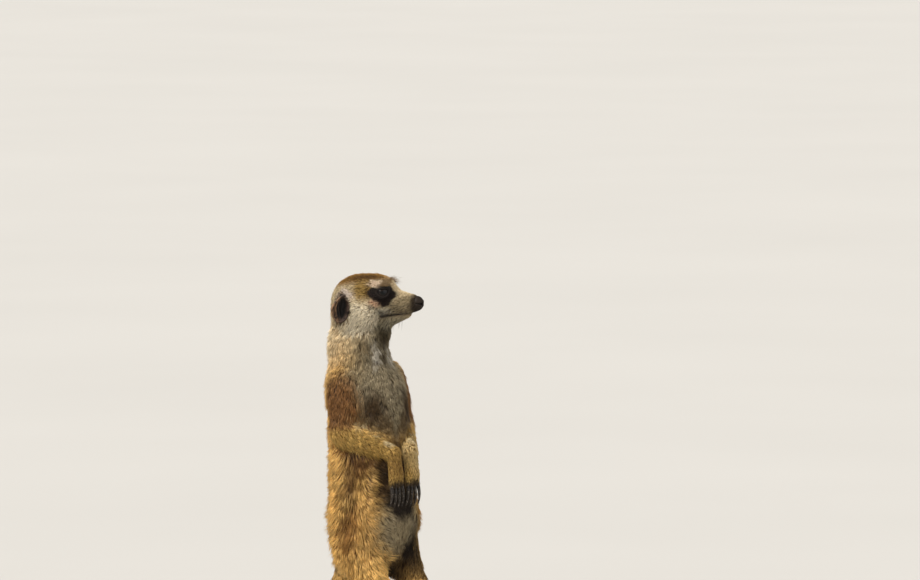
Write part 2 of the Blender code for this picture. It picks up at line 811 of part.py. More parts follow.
def coat_with_locks(obj, field_of_coat, neighbours, rng):
    """Fuses a field of locks onto obj, none of them touching its neighbours."""
    tree = surface_tree(obj)
    others = [surface_tree(other, LOCK_CLEARANCE * MM) for other in neighbours]
    locks = bpy.data.collections.new("locks")
    bpy.context.scene.collection.children.link(locks)
    for root, way in lock_roots(tree, field_of_coat, rng):
        grown = rng.uniform(0.88, 1.12)
        bend = rng.uniform(-0.25, 0.25)
        for share in LOCK_LENGTHS:
            length, width = (side * grown * field_of_coat[-1] * MM for side in LOCK_SIZE[:2])
            size = (length * share, width, LOCK_SIZE[2] * MM)
            made = lock(tree, root, way, size, bend)
            own = surface_tree(made)
            if not any(own.overlap(other) for other in others):
                bpy.context.scene.collection.objects.unlink(made)
                locks.objects.link(made)
                break
            discard(made)
    join = obj.modifiers.new("coat", "BOOLEAN")
    join.operation = "UNION"
    join.operand_type = "COLLECTION"
    join.solver = "MANIFOLD"
    join.collection = locks
    settle(obj)
    for made in list(locks.objects):
        discard(made)
    bpy.data.collections.remove(locks)
    return keep_largest(obj)


def centre_on_floor(objects):
    """Puts the middle of the whole footprint on the Z axis."""
    points = np.concatenate([vertices_of(obj) for obj in objects])
    middle = (points.min(0) + points.max(0)) / 2
    shift = np.array((middle[0], middle[1], points.min(0)[2]))
    for obj in objects:
        set_vertices(obj, vertices_of(obj) - shift)


def kind_of(name):
    """The finish of a piece, by its name."""
    kinds = {
        "eye": "eye",
        "nose": "nose_skin",
        "ear": "dark_skin",
        "front_claw": "claw",
        "hind_claw": "claw",
        "head": "pale_coat",
        "neck": "pale_coat",
        "forearm": "limb_coat",
        "hand": "limb_coat",
        "shank": "limb_coat",
        "foot": "limb_coat",
    }
    for start, kind in kinds.items():
        if name.startswith(start):
            return kind
    return "coat"


def finish(obj, kind):
    colour, roughness = FINISHES[kind]
    material = bpy.data.materials.get(kind)
    if material is None:
        material = bpy.data.materials.new(kind)
        material.use_nodes = True
        shader = material.node_tree.nodes["Principled BSDF"]
        shader.inputs["Base Color"].default_value = (*colour, 1)
        shader.inputs["Roughness"].default_value = roughness
    obj.data.materials.clear()
    obj.data.materials.append(material)
    obj.data.shade_smooth()
    obj.data.set_sharp_from_angle(angle=math.radians(50))


def main():
    for obj in list(bpy.data.objects):
        discard(obj)
    pieces = trunk_pieces()
    head = head_piece()
    cut_mouth(head)
    eyes = {"eye_" + SIDE_NAMES[s]: eye_and_lids(head, s) for s in (RIGHT, LEFT)}
    pieces["head"] = keep_largest(head)
    pieces["nose"] = nose_piece(pieces["head"])
    pieces.update(eyes)
    trunk = [pieces[name] for name in ("torso", "neck")]
    for side in (RIGHT, LEFT):
        label = SIDE_NAMES[side]
        pieces["ear_" + label] = ear_piece(pieces["head"], side)
        pieces.update(arm_pieces(side, trunk))
        hand, foot = pieces["hand_" + label], pieces["foot_" + label]
        pieces.update(claw_pieces(side, hand, foot))
    rng = random.Random(COAT_SEED)
    for name, coat in coat_fields().items():
        neighbours = [obj for key, obj in pieces.items() if key != name]
        pieces[name] = coat_with_locks(pieces[name], coat, neighbours, rng)
    centre_on_floor(pieces.values())
    for name, obj in pieces.items():
        obj.name = name
        finish(obj, kind_of(name))


main()
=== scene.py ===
"""The looks of a life-size meerkat that stands upright on its hind feet.

Places and sizes are in the animal's own millimetres, drawn as the solids are: the body
faces -Y, its left side is +X, and the soles are at z = 0. One skin lies inside the
solids by the depth of the coat. Tufts of hair grow on it, along the lie of the coat.
"""

import math

import bmesh
import bpy
import numpy as np
from mathutils import Matrix, Vector
from mathutils.kdtree import KDTree


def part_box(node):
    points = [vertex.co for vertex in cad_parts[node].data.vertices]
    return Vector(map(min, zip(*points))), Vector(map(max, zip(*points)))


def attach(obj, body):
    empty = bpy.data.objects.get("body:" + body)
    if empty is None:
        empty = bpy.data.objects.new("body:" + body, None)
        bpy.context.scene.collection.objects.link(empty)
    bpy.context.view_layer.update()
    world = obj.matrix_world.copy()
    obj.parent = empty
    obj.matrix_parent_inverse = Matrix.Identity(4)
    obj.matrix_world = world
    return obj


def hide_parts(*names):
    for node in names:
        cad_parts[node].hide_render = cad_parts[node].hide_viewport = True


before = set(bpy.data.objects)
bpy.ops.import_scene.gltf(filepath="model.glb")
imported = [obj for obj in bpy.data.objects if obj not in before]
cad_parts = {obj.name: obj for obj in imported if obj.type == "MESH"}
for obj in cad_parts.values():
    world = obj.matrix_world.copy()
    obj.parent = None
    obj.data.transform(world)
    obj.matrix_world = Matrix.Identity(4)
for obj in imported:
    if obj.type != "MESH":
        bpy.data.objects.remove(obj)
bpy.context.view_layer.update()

MM = 0.001
RIGHT, LEFT = -1, 1
SIDES = {"right": RIGHT, "left": LEFT}
SEED = 11

# Places and sizes of the solids' features and of what is sunk into the skin
HEAD_TURN = math.radians(35)
HEAD_CENTRE = np.array((0, 11, 292.0))
EYE_PLACE = (16.0, 10.6, 8.0)  # forward of the skull's centre, to the side, and up
EYE_RADIUS = 5.6
EYE_LOOK = (0.50, 0.86, 0.06)
EYE_OPENING = (4.3, 2.7)  # half its length and half its height
EYE_DROOP = 0.22  # how far the corners of the opening hang
EYE_SLANT = 0.10
LID_SCALE = 3.7  # millimetres in one part of the opening's size
LID_THICKNESS = 0.95
SOCKET_DEPTH = 0.9  # of the skin under the eyeball, inside the opening
EYE_SURROUND = 12  # from the eye's middle, where the lids end
EAR_PLACE = (-16.5, 21.6, -5.0)
EAR_SIZE = (7.8, 5.4, 11.8)  # half width, depth, half height
EAR_FACING = (0.50, 0.86, -0.05)
EAR_REACH = (-6.4, 14.4)  # inward and outward, where an ear bears on the skin
POCKET_DEPTH = 5.4  # of the room made for an ear in the head
POCKET_RISE = 15
POCKET_EDGES = (0.82, 1.14)  # where its wall starts and ends, one at the ear's rim
FAR = 9  # stands for the distance to an edge that isn't near
NOSE_PLACE = (44.0, 0, -1.2)
NOSE_SIZE = (4.4, 4.7, 5.8)
MOUTH_CORNER = (15.0, -11.4)  # forward and up
MOUTH_FRONT = (41.2, -8.2)
CHEEK_CREASE = ((8.5, -3.6), (13, -6.2), (17.5, -9.4))
SHOULDER = (25, 10, 225)  # of the left side, which the right side mirrors
ELBOW = (32, 4, 187)
WRIST = (9, -38, 171)
KNUCKLES = (8.5, -40.5, 154)
FINGERTIPS = (8.5, -41, 143)
HANDS_ASIDE = -2.5
HIP = (20, -3, 88)
KNEE = (19.5, -31, 57)
ANKLE = (22, 8, 16)
HEEL = (22, 15, 7)
BALL = (23.5, -25, 4.6)
TOE_TIPS = (24.5, -43, 4.0)
DIGIT_SPREAD = (-1.5, -0.5, 0.5, 1.5)
TOE_GAP = 4.6  # from one toe's tip to the next
TOE_ROOT_GAP = 3.6
FINGERTIP_GAP = 3.6
KNUCKLE_GAP = 3.1
FRONT_CLAW = (18.0, 1.5)  # length and half thickness
HIND_CLAW = (10.0, 1.15)
CLAW_BEND = 0.9  # radians from root to tip
TAIL_ROUTE = (
    (0, 14, 82),
    (0, 32, 72),
    (1, 49, 51),
    (3, 61, 27),
    (8, 80, 10),
    (19, 112, 7.0),
    (38, 156, 5.6),
    (61, 192, 3.8),
)
TAIL_THICKNESS = (12.5, 3.6)  # half of it, at the root and the tip
TAIL_LINKS = 18

# How many rings a piece is made of, and how many places each ring has
EYE_GRID = (40, 48)
NOSE_GRID = (72, 96)
EAR_STEPS = 64
CLAW_RINGS = 19
CLAW_STEPS = 16

# Fineness of the skin, and the longest step of a point on its way to its depth
SKIN_CELL = 1.5
LONGEST_STEP = 1.5
# How far a pass evens out the skin: on the outside, on the way in, and at the end
SMOOTHING = (0.5, 0.3, 0.4)
# How high the skin and the coat lie over the floor, at least
SKIN_FLOOR = 0.15
COAT_FLOOR = 0.5
DETAIL_REGIONS = ("head", "hand", "foot")

# The coat of each region: how deep the skin lies under the solids, how long the tufts
# are, how high their tips stand over the skin, how wide and how many to a square
# millimetre they are, their number of bends, and how many gather into one lock
COATS = {
    "head": dict(depth=1.5, length=4.6, rise=1.8, width=0.42, number=3.0, bends=1, lock=4),
    "neck": dict(depth=3.6, length=11, rise=4.2, width=0.52, number=1.95, bends=2, lock=8),
    "torso": dict(depth=3.4, length=19, rise=6.0, width=0.66, number=1.2, bends=2, lock=16),
    "upper_arm": dict(depth=2.6, length=11, rise=4.4, width=0.6, number=1.6, bends=2, lock=9),
    "forearm": dict(depth=1.9, length=8, rise=2.6, width=0.6, number=1.6, bends=1, lock=5),
    "hand": dict(depth=0.7, length=4, rise=1.1, width=0.42, number=2.2, bends=1, lock=4),
    "thigh": dict(depth=3.4, length=16, rise=5.6, width=0.74, number=1.2, bends=2, lock=12),
    "shank": dict(depth=2.0, length=9, rise=2.8, width=0.72, number=1.1, bends=1, lock=5),
    "foot": dict(depth=0.9, length=4.5, rise=1.3, width=0.46, number=1.6, bends=1, lock=4),
    "tail": dict(depth=2.2, length=10, rise=3.0, width=0.70, number=1.25, bends=1, lock=5),
}

# By a tuft's number of bends: how far the tips of a lock draw together, how broad the
# tuft is at each ring, as shares of its width, and its triangles
LOCK_PULL = {1: (0.1, 0.4), 2: (0.15, 0.65)}
TUFT_BREADTH = {1: (0.75, 1.0), 2: (0.7, 1.0, 0.72)}
TUFT_TRIANGLES = {1: 10, 2: 16}
TUFT_THICKNESS = 0.4  # of its width
ROOT_DEPTH = 0.35  # of a tuft's root under the skin
STRAYS = 0.04  # share of the tufts that stand out of the coat
STRAY_RISE = 1.3
TIP_SHIFT = 2.5  # that brings a tuft back to its height over the skin, at most
REGION_SOFTNESS = 2.2
LIMBS = ("forearm", "hand", "shank", "foot")
# How much the hair falls away from its way along each limb
LIMB_DROP = {"upper_arm": 0.35, "forearm": 0.35, "hand": 0, "shank": 0, "foot": 0, "tail": 0}
MOST_TRIANGLES = 190000  # in one coat piece
PATCH = 0.003  # of a tuft on the unwrap

# Single hairs: rows of whiskers and how many in each, those of the chin, those of each
# brow, and how deep all are rooted
WHISKER_ROWS = (3, 5)
CHIN_BRISTLES = 3
BROW_HAIRS = 100
HAIR_ROOT = 0.3

# Each coat piece, the regions that it covers and its finish
COAT_PIECES = {
    "coat_head": (("head",), "pale_coat"),
    "coat_neck": (("neck",), "pale_coat"),
    "coat_trunk": (("torso",), "coat"),
    "coat_upper_arms": (("upper_arm",), "coat"),
    "coat_forearms": (("forearm", "hand"), "limb_coat"),
    "coat_thighs": (("thigh",), "coat"),
    "coat_shanks": (("shank", "foot"), "limb_coat"),
    "coat_tail": (("tail",), "coat"),
}

# The nodes of flesh, which one skin covers
LIMB_NODES = ("upper_arm", "forearm", "hand", "thigh", "shank", "foot")
FLESH = ["head", "neck", "torso", "tail_base", "tail_middle", "tail_tip"] + [
    f"{piece}_{side}" for side in SIDES for piece in LIMB_NODES
]

# Camera, in millimetres: the view from the animal's front right, a little above it
VIEW_AZIMUTH = math.radians(-40)
VIEW_ELEVATION = math.radians(5)
VIEW_DISTANCE = 6000
VIEW_WIDTH = 754
VIEW_CENTRE = (69.7, 300.6, 17.1)  # along the view's own right, up and back axes

# The head's own axes
FORWARD = np.array((math.sin(HEAD_TURN), -math.cos(HEAD_TURN), 0))
LEFTWARD = np.array((math.cos(HEAD_TURN), math.sin(HEAD_TURN), 0))
UPWARD = np.array((0, 0, 1.0))
HEAD_AXES = np.array((FORWARD, LEFTWARD, UPWARD))


def unit(vectors):
    """The vectors with length one."""
    vectors = np.asarray(vectors, float)
    return vectors / np.maximum(np.linalg.norm(vectors, axis=-1, keepdims=True), 1e-9)


def on_head(place):
    """The place that lies so far forward, left and up of the skull's centre."""
    return HEAD_CENTRE + np.asarray(place, float) @ HEAD_AXES


def head_side(place, side):
    return on_head((place[0], place[1] * side, place[2]))


def to_head(points):
    """Places forward, left and up of the skull's centre."""
    return (points - HEAD_CENTRE) @ HEAD_AXES.T


def smooth_step(low, high, value):
    """None at low, one at high, and an even curve between them."""
    share = np.clip((value - low) / (high - low), 0, 1)
    return share * share * (3 - 2 * share)


def hump(value, middle, width):
    """A rounded rise: one in the middle, and about a third of that a width away."""
    return np.exp(-(((value - middle) / width) ** 2))


def turns(count):
    """Angles once round a ring."""
    return [2 * math.pi * turn / count for turn in range(count)]


# Shape of the body
class Mass:
    """A rounded mass of the body: an ellipsoid, or one drawn out to a second one."""

    def __init__(self, region, at, radii, to=None, to_radii=None, blend=6.0):
        self.region = region
        self.head = region == "head"
        self.at = np.array(at, float)
        self.to = self.at if to is None else np.array(to, float)
        self.radii = np.array(radii, float)
        self.to_radii = self.radii if to_radii is None else np.array(to_radii, float)
        self.blend = blend

    def distance(self, points):
        local = to_head(points) if self.head else points
        along = self.to - self.at
        length = along @ along
        share = np.zeros(len(points))
        if length > 0:
            share = np.clip((local - self.at) @ along / length, 0, 1)
        radii = self.radii + share[:, None] * (self.to_radii - self.radii)
        offset = (local - self.at - share[:, None] * along) / radii
        reach = np.linalg.norm(offset, axis=1)
        slope = np.linalg.norm(offset / radii, axis=1)
        return reach * (reach - 1) / np.maximum(slope, 1e-9)

    def hull_points(self):
        ball = bmesh.new()
        bmesh.ops.create_icosphere(ball, subdivisions=2, radius=1)
        around = np.array([v.co for v in ball.verts])
        ball.free()
        ends = ((self.at, self.radii), (self.to, self.to_radii))
        local = np.concatenate([centre + around * radii for centre, radii in ends])
        return on_head(local) if self.head else local


def on_route(route, share):
    """A place at a share of the way along a smooth curve through the route."""
    where = share * (len(route) - 1)
    first = min(int(where), len(route) - 2)
    t = where - first
    last = len(route) - 1
    numbers = [min(max(first + k, 0), last) for k in (-1, 0, 1, 2)]
    before, start, end, after = (np.array(route[n], float) for n in numbers)
    bend = 2 * before - 5 * start + 4 * end - after
    turn = 3 * start - before - 3 * end + after
    return 0.5 * (2 * start + (end - before) * t + bend * t**2 + turn * t**3)


def trunk_masses():
    masses = [
        Mass("torso", (0, 2, 112), (34.5, 35, 34), (0, 9.5, 206), (30.5, 36.5, 36), 12),
        Mass("torso", (0, -1.5, 116), (33, 33, 34), blend=12),
        Mass("torso", (0, 4, 88), (33, 27, 26), blend=12),
        Mass("torso", (0, 10, 88), (22, 24, 24), (0, 36, 66), (12, 12, 12), 9),
    ]
    for side in SIDES.values():
        masses.append(Mass("torso", (14 * side, 10, 219), (17, 20, 21), blend=9))
    neck = ((-2, 14, 226), (-5, 15, 256), (-5, 16.5, 276))
    masses.append(Mass("neck", neck[0], (27, 29, 25), neck[1], (22, 23.5, 20), 12))
    masses.append(Mass("neck", neck[1], (22, 23.5, 20), neck[2], (20, 21, 15), 10))
    return masses


def head_masses():
    masses = [
        Mass("head", (-3.5, 0, 3), (23.5, 21.5, 19.5), blend=8),
        Mass("head", (-15, 0, -5), (13, 18.5, 16.5), blend=8),
        Mass("head", (11.5, 0, 8.6), (15, 14, 13.2), blend=8),
        Mass("head", (10, 0, -0.2), (13, 14, 15.2), (40.5, 0, -1.1), (5.5, 6.2, 7.7), 6),
        Mass("head", (5, 0, -17), (17, 14, 11), (33, 0, -10.0), (5.4, 4.9, 4.4), 3.5),
        Mass("head", (5, 0, -25), (15.5, 14, 10), blend=7),
    ]
    for side in SIDES.values():
        masses.append(Mass("head", (-5, 15 * side, -9), (18, 11, 14), blend=7))
        masses.append(Mass("head", (14, 10.5 * side, 12), (9, 5.5, 4.6), blend=5))
    return masses


def toe_tip(spread):
    x, y, z = TOE_TIPS
    return (x + TOE_GAP * spread, y + 1.4 * abs(spread), z)


def sided(place, side):
    return (place[0] * side, place[1], place[2])


def leg_masses(side):
    hip, knee, ankle, heel, ball = (sided(p, side) for p in (HIP, KNEE, ANKLE, HEEL, BALL))
    masses = [
        Mass("thigh", hip, (16, 20, 22), knee, (11, 12, 12), 9),
        Mass("shank", knee, (10, 11.5, 11.5), ankle, (6.4, 7, 7.4), 4),
        Mass("foot", heel, (6.2, 7, 7), ball, (8.8, 8, 5), 4),
    ]
    for spread in DIGIT_SPREAD:
        root = sided((BALL[0] + TOE_ROOT_GAP * spread, BALL[1] - 2, BALL[2]), side)
        tip = sided(toe_tip(spread), side)
        masses.append(Mass("foot", root, (3.3,) * 3, tip, (2.7, 3.0, 2.6), 1.2))
    return masses


def tail_masses():
    thick, thin = TAIL_THICKNESS
    stations = []
    for link in range(TAIL_LINKS + 1):
        share = link / TAIL_LINKS
        radius = thick + (thin - thick) * share**0.8
        x, y, z = on_route(TAIL_ROUTE, share)
        stations.append(((x, y, max(z, radius - 0.8)), (radius,) * 3))
    masses = []
    for (start, thick), (end, thin) in zip(stations, stations[1:]):
        masses.append(Mass("tail", start, thick, end, thin, 0.6))
    return masses


def on_hand(point, side, aside=0.0):
    return (point[0] * side + HANDS_ASIDE + aside, point[1], point[2])


def fingertip(spread, side):
    x, y, z = on_hand(FINGERTIPS, side, FINGERTIP_GAP * spread)
    return (x, y, z + abs(spread))


def arm_masses(side):
    shoulder, elbow = sided(SHOULDER, side), sided(ELBOW, side)
    wrist, knuckles = on_hand(WRIST, side), on_hand(KNUCKLES, side)
    masses = [
        Mass("upper_arm", shoulder, (12, 15.5, 17.5), elbow, (8, 9.5, 9), 5),
        Mass("forearm", elbow, (9, 11, 12), wrist, (6, 5.8, 6.2), 2.5),
        Mass("hand", wrist, (6, 5.2, 5.8), knuckles, (6.6, 4.4, 5), 2),
    ]
    for spread in DIGIT_SPREAD:
        root, tip = on_hand(KNUCKLES, side, KNUCKLE_GAP * spread), fingertip(spread, side)
        masses.append(Mass("hand", root, (2.2, 2.7, 2.7), tip, (1.9,) * 3, 1.2))
    return masses


def body_masses():
    masses = trunk_masses() + head_masses() + leg_masses(RIGHT) + leg_masses(LEFT)
    return masses + tail_masses() + arm_masses(RIGHT) + arm_masses(LEFT)


BODY = body_masses()


def run_together(total, other, blend):
    """The smooth least of two distances."""
    mix = np.clip(0.5 + 0.5 * (other - total) / blend, 0, 1)
    return other * (1 - mix) + total * mix - blend * mix * (1 - mix)


def distance_to(masses, points):
    """Signed distance to the masses run together, negative inside."""
    total = masses[0].distance(points)
    for mass in masses[1:]:
        total = run_together(total, mass.distance(points), mass.blend)
    return total


def slope_at(points):
    """Gradient of the distance to the body, from four places round each point."""
    step = 0.05
    slope = np.zeros_like(points)
    for corner in ((1, -1, -1), (-1, -1, 1), (-1, 1, -1), (1, 1, 1)):
        corner = np.array(corner, float)
        slope += corner * distance_to(BODY, points + step * corner)[:, None]
    return slope / (4 * step)


def settled(points, depth):
    """The points moved in two steps until they lie at a depth inside the body."""
    for _ in range(2):
        slope = slope_at(points)
        away = distance_to(BODY, points) + depth
        step = away / np.maximum((slope**2).sum(1), 0.05)
        points = points - np.clip(step, -LONGEST_STEP, LONGEST_STEP)[:, None] * slope
    return points


def region_shares(points):
    """How much each point belongs to each region, and the lie of limbs and tail."""
    nearest = {}
    lie = np.zeros_like(points)
    for mass in BODY:
        away = mass.distance(points)
        old = nearest.get(mass.region)
        nearest[mass.region] = away if old is None else np.minimum(old, away)
        if mass.region not in ("head", "neck", "torso"):
            pull = np.exp(-np.clip(away, -5, 30) / 1.6)
            lie += pull[:, None] * unit(mass.to - mass.at)
    names = list(COATS)
    away = np.stack([nearest[name] for name in names])
    away -= away.min(0)
    shares = np.exp(-away / REGION_SOFTNESS)
    shares /= shares.sum(0)
    return dict(zip(names, shares)), unit(lie)


# Mesh helpers
def add_object(name, data):
    obj = bpy.data.objects.new(name, data)
    bpy.context.scene.collection.objects.link(obj)
    return obj


def from_bmesh(name, source):
    mesh = bpy.data.meshes.new(name)
    source.to_mesh(mesh)
    source.free()
    return add_object(name, mesh)


def settle(obj):
    """Applies the object's modifiers to its mesh."""
    graph = bpy.context.evaluated_depsgraph_get()
    mesh = bpy.data.meshes.new_from_object(obj.evaluated_get(graph))
    obj.modifiers.clear()
    obj.data = mesh


def read(items, name, width, kind=float):
    values = np.empty(len(items) * width, kind)
    items.foreach_get(name, values)
    return values.reshape(-1, width) if width > 1 else values


def vertices_of(obj):
    return read(obj.data.vertices, "co", 3)


def normals_of(obj):
    return read(obj.data.vertices, "normal", 3)


def set_vertices(obj, points):
    obj.data.vertices.foreach_set("co", points.ravel())
    obj.data.update()


def smoothed(obj, points, share):
    """The points moved towards the mean of their neighbours."""
    first, second = read(obj.data.edges, "vertices", 2, int).T
    total = np.zeros_like(points)
    for axis in range(3):
        total[:, axis] = np.bincount(first, points[second, axis], len(points))
        total[:, axis] += np.bincount(second, points[first, axis], len(points))
    count = np.bincount(np.concatenate([first, second]), minlength=len(points))
    return points + share * (total / count[:, None] - points)


def store(mesh, name, values):
    """Keeps one number or one vector for each vertex."""
    kind = "FLOAT" if values.ndim == 1 else "FLOAT_VECTOR"
    attribute = mesh.attributes.new(name, kind, "POINT")
    field = "value" if values.ndim == 1 else "vector"
    attribute.data.foreach_set(field, values.astype(np.float32).ravel())


def store_places(mesh, roots, shares):
    """Keeps what the markings are painted by: place on the body, place on the head with
    its sides folded together, and how far each root is head, limb or tail."""
    head = to_head(roots)
    head[:, 1] = np.abs(head[:, 1])
    limb = sum(shares[name] for name in LIMBS)
    store(mesh, "body_place", roots)
    store(mesh, "head_place", head)
    store(mesh, "part", np.stack([shares["head"], limb, shares["tail"]], axis=1))


def measure_shift():
    """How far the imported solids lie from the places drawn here, in metres."""
    shifts = []
    for label, side in SIDES.items():
        low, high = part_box("eye_" + label)
        shifts.append((low + high) / 2 - Vector(head_side(EYE_PLACE, side) * MM))
    return (shifts[0] + shifts[1]) / 2


SHIFT = measure_shift()


def to_frame(points):
    return np.asarray(points, float) * MM + np.array(SHIFT)


def seat(obj, finish, nodes=()):
    """Puts a piece drawn in millimetres into the frame, with its finish."""
    set_vertices(obj, to_frame(vertices_of(obj)))
    obj.data.materials.clear()
    obj.data.materials.append(finish)
    obj.data.shade_smooth()
    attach(obj, "root")
    if nodes:
        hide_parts(*nodes)


def unwrap(obj):
    """A flat unwrap of the piece's own shape."""
    obj.data.uv_layers.new(name="OFBake")
    bpy.context.view_layer.objects.active = obj
    obj.select_set(True)
    bpy.ops.object.mode_set(mode="EDIT")
    bpy.ops.mesh.select_all(action="SELECT")
    bpy.ops.uv.smart_project(angle_limit=math.radians(66), island_margin=0.002)
    bpy.ops.object.mode_set(mode="OBJECT")
    obj.select_set(False)


# Eyes, mouth and skin
def facing_axes(direction, side):
    """Rows: along the animal, out of the head, and up, for a feature on one side."""
    ahead, out, up = direction
    outward = unit(np.array((ahead, out * side, up)) @ HEAD_AXES)
    along = unit(np.cross(UPWARD, outward))
    return np.array((along, outward, np.cross(along, outward)))


def ear_outline(up):
    """How far an ear's lower end leans forward, and how much of its width is left."""
    low = np.clip(-up, 0, 1)
    return -0.38 * low, 1 - 0.45 * low**2


def ear_edge(points, side):
    """How far each point is from an ear's middle, one at its rim, how far out it is, and
    how far from the middle the ear's bare skin ends: sooner behind."""
    axes = facing_axes(EAR_FACING, side)
    local = (points - head_side(EAR_PLACE, side)) @ axes.T
    out, up = local[:, 1], local[:, 2] / EAR_SIZE[2]
    lean, narrow = ear_outline(up)
    behind = local[:, 0] * side / EAR_SIZE[0] - lean
    edge = np.hypot(behind / narrow, up)
    bare = edge + 0.4 * smooth_step(0.2, 0.7, behind)
    near = (out > EAR_REACH[0]) & (out < EAR_REACH[1])
    return np.where(near, edge, FAR), out, np.where(near, bare, FAR)


def with_ear_hollows(points):
    """Makes room in the head for the cup of each ear."""
    for side in SIDES.values():
        outward = facing_axes(EAR_FACING, side)[1]
        edge, out, _ = ear_edge(points, side)
        sunk = out - POCKET_RISE * smooth_step(*POCKET_EDGES, edge) + POCKET_DEPTH
        sunk = np.where(edge < POCKET_EDGES[1], np.maximum(sunk, 0), 0)
        points = points - sunk[:, None] * outward
    return points


def face_width(ahead, up, side, fineness):
    """How far aside the skin of the face lies, that far forward and up, in steps of which
    so many go to a millimetre."""
    aside = np.linspace(0, 30, 30 * fineness + 1)
    row = on_head(np.stack([ahead + 0 * aside, aside * side, up + 0 * aside], 1))
    inside = distance_to(head_masses(), row) < -COATS["head"]["depth"]
    return aside[inside.sum()]


def on_face(ahead, up, side):
    """The place on one side of the head that far forward and up."""
    return on_head((ahead, face_width(ahead, up, side, 4) * side, up))


def lip_line():
    """Places along the mouth, from its right corner round the front to the left."""
    stretch = [np.linspace(*ends, 10) for ends in zip(MOUTH_CORNER, MOUTH_FRONT)]
    right, left = ([on_face(*place, side) for place in zip(*stretch)] for side in (RIGHT, LEFT))
    front = on_head((MOUTH_FRONT[0] + 1.4, 0, MOUTH_FRONT[1] + 0.4))
    return np.array(right + [front] + left[::-1])


LIPS = lip_line()
CHEEK_CREASES = [
    np.array([on_face(*place, side) for place in CHEEK_CREASE]) for side in SIDES.values()
]


def away_from_line(points, line):
    """Distance of each point to a line of short straight stretches."""
    least = np.full(len(points), 1e9)
    for start, end in zip(line, line[1:]):
        along = end - start
        share = np.clip((points - start) @ along / (along @ along), 0, 1)
        gap = np.linalg.norm(points - start - share[:, None] * along, axis=1)
        least = np.minimum(least, gap)
    return least


def lid_edge(points, side):
    """Distance outside the edge of the lids, and distance from the middle of the eye."""
    local = (points - head_side(EYE_PLACE, side)) @ facing_axes(EYE_LOOK, side).T
    reach = np.linalg.norm(local, axis=1)
    across, up = local[:, 0] / reach, local[:, 2] / reach
    up = up + EYE_DROOP * np.abs(across) ** 1.5 - EYE_SLANT * across * side
    half_length, half_height = (half / EYE_RADIUS for half in EYE_OPENING)
    edge = np.sqrt((across / half_length) ** 2 + (up / half_height) ** 2) - 1
    return np.where(local[:, 1] > 0, edge * LID_SCALE, FAR), reach


def with_lids(points):
    """Opens an almond between two lids over each eyeball."""
    for side in SIDES.values():
        centre = head_side(EYE_PLACE, side)
        edge, reach = lid_edge(points, side)
        # a rim along the edge of the lids, a fold behind it, and the slope round both
        fold = 0.35 * hump(edge, 2.6, 0.5)
        rim = LID_THICKNESS + 0.28 * hump(edge, 0.7, 0.6)
        over = EYE_RADIUS + rim - fold - 0.22 * np.clip(edge - 2.8, 0, 5) ** 2
        outside = np.maximum(reach - fold * smooth_step(5, 3, edge), over)
        share = smooth_step(-0.25, 0.3, edge)
        wanted = (EYE_RADIUS - SOCKET_DEPTH) * (1 - share) + outside * share
        wanted = np.where((reach < EYE_SURROUND) & (edge < 7), wanted, reach)
        points = centre + (points - centre) * (wanted / reach)[:, None]
    return points


def with_lips(points, normals):
    """Sinks the line of the mouth and raises the lips beside it."""
    gap = away_from_line(points, LIPS)
    raised = 0.45 * hump(gap, 1.5, 0.8) - 1.15 * hump(gap, 0, 0.6)
    return points + normals * raised[:, None]


def refined(obj, chosen):
    """Splits the faces whose corners are all chosen into four."""
    source = bmesh.new()
    source.from_mesh(obj.data)
    source.verts.ensure_lookup_table()
    edges = {e for f in source.faces if all(chosen[v.index] for v in f.verts) for e in f.edges}
    bmesh.ops.subdivide_edges(source, edges=list(edges), cuts=1, use_grid_fill=True)
    source.to_mesh(obj.data)
    source.free()
    obj.data.update()


def coat_value(shares, name):
    return sum(shares[region] * COATS[region][name] for region in COATS)


def cheek_share(head, breadth):
    """One in the middle of the cheek, less round it."""
    return np.exp(-((head[:, 0] + 8) ** 2 + (head[:, 2] + 12) ** 2) / breadth)


def skin_depth(points, shares):
    """How deep the skin lies: thin under the bare belly and the face, deep at the
    cheeks and the nape."""
    head = to_head(points)
    cheek = cheek_share(head, 140) * smooth_step(8, 15, np.abs(head[:, 1]))
    depth = coat_value(shares, "depth")
    depth = depth + shares["head"] * (1.6 * cheek - 0.7 * smooth_step(18, 34, head[:, 0]))
    return depth - 2.2 * shares["torso"] * front_share(points)


def body_angle(points):
    """Degrees round the trunk from the middle of the belly, on either side."""
    return np.degrees(np.arctan2(np.abs(points[:, 0]), 5 - points[:, 1]))


def front_share(points):
    """One on the breast and belly, where the coat is thin, and none on the flanks."""
    return smooth_step(58, 36, body_angle(points))


def hull_shell():
    """A closed hull round each mass of the body, all in one mesh."""
    hulls = bmesh.new()
    for mass in BODY:
        verts = [hulls.verts.new(point) for point in mass.hull_points()]
        made = bmesh.ops.convex_hull(hulls, input=verts)
        inner = [v for v in made["geom_interior"] if isinstance(v, bmesh.types.BMVert)]
        bmesh.ops.delete(hulls, geom=inner, context="VERTS")
    bmesh.ops.recalc_face_normals(hulls, faces=hulls.faces)
    return from_bmesh("skin", hulls)


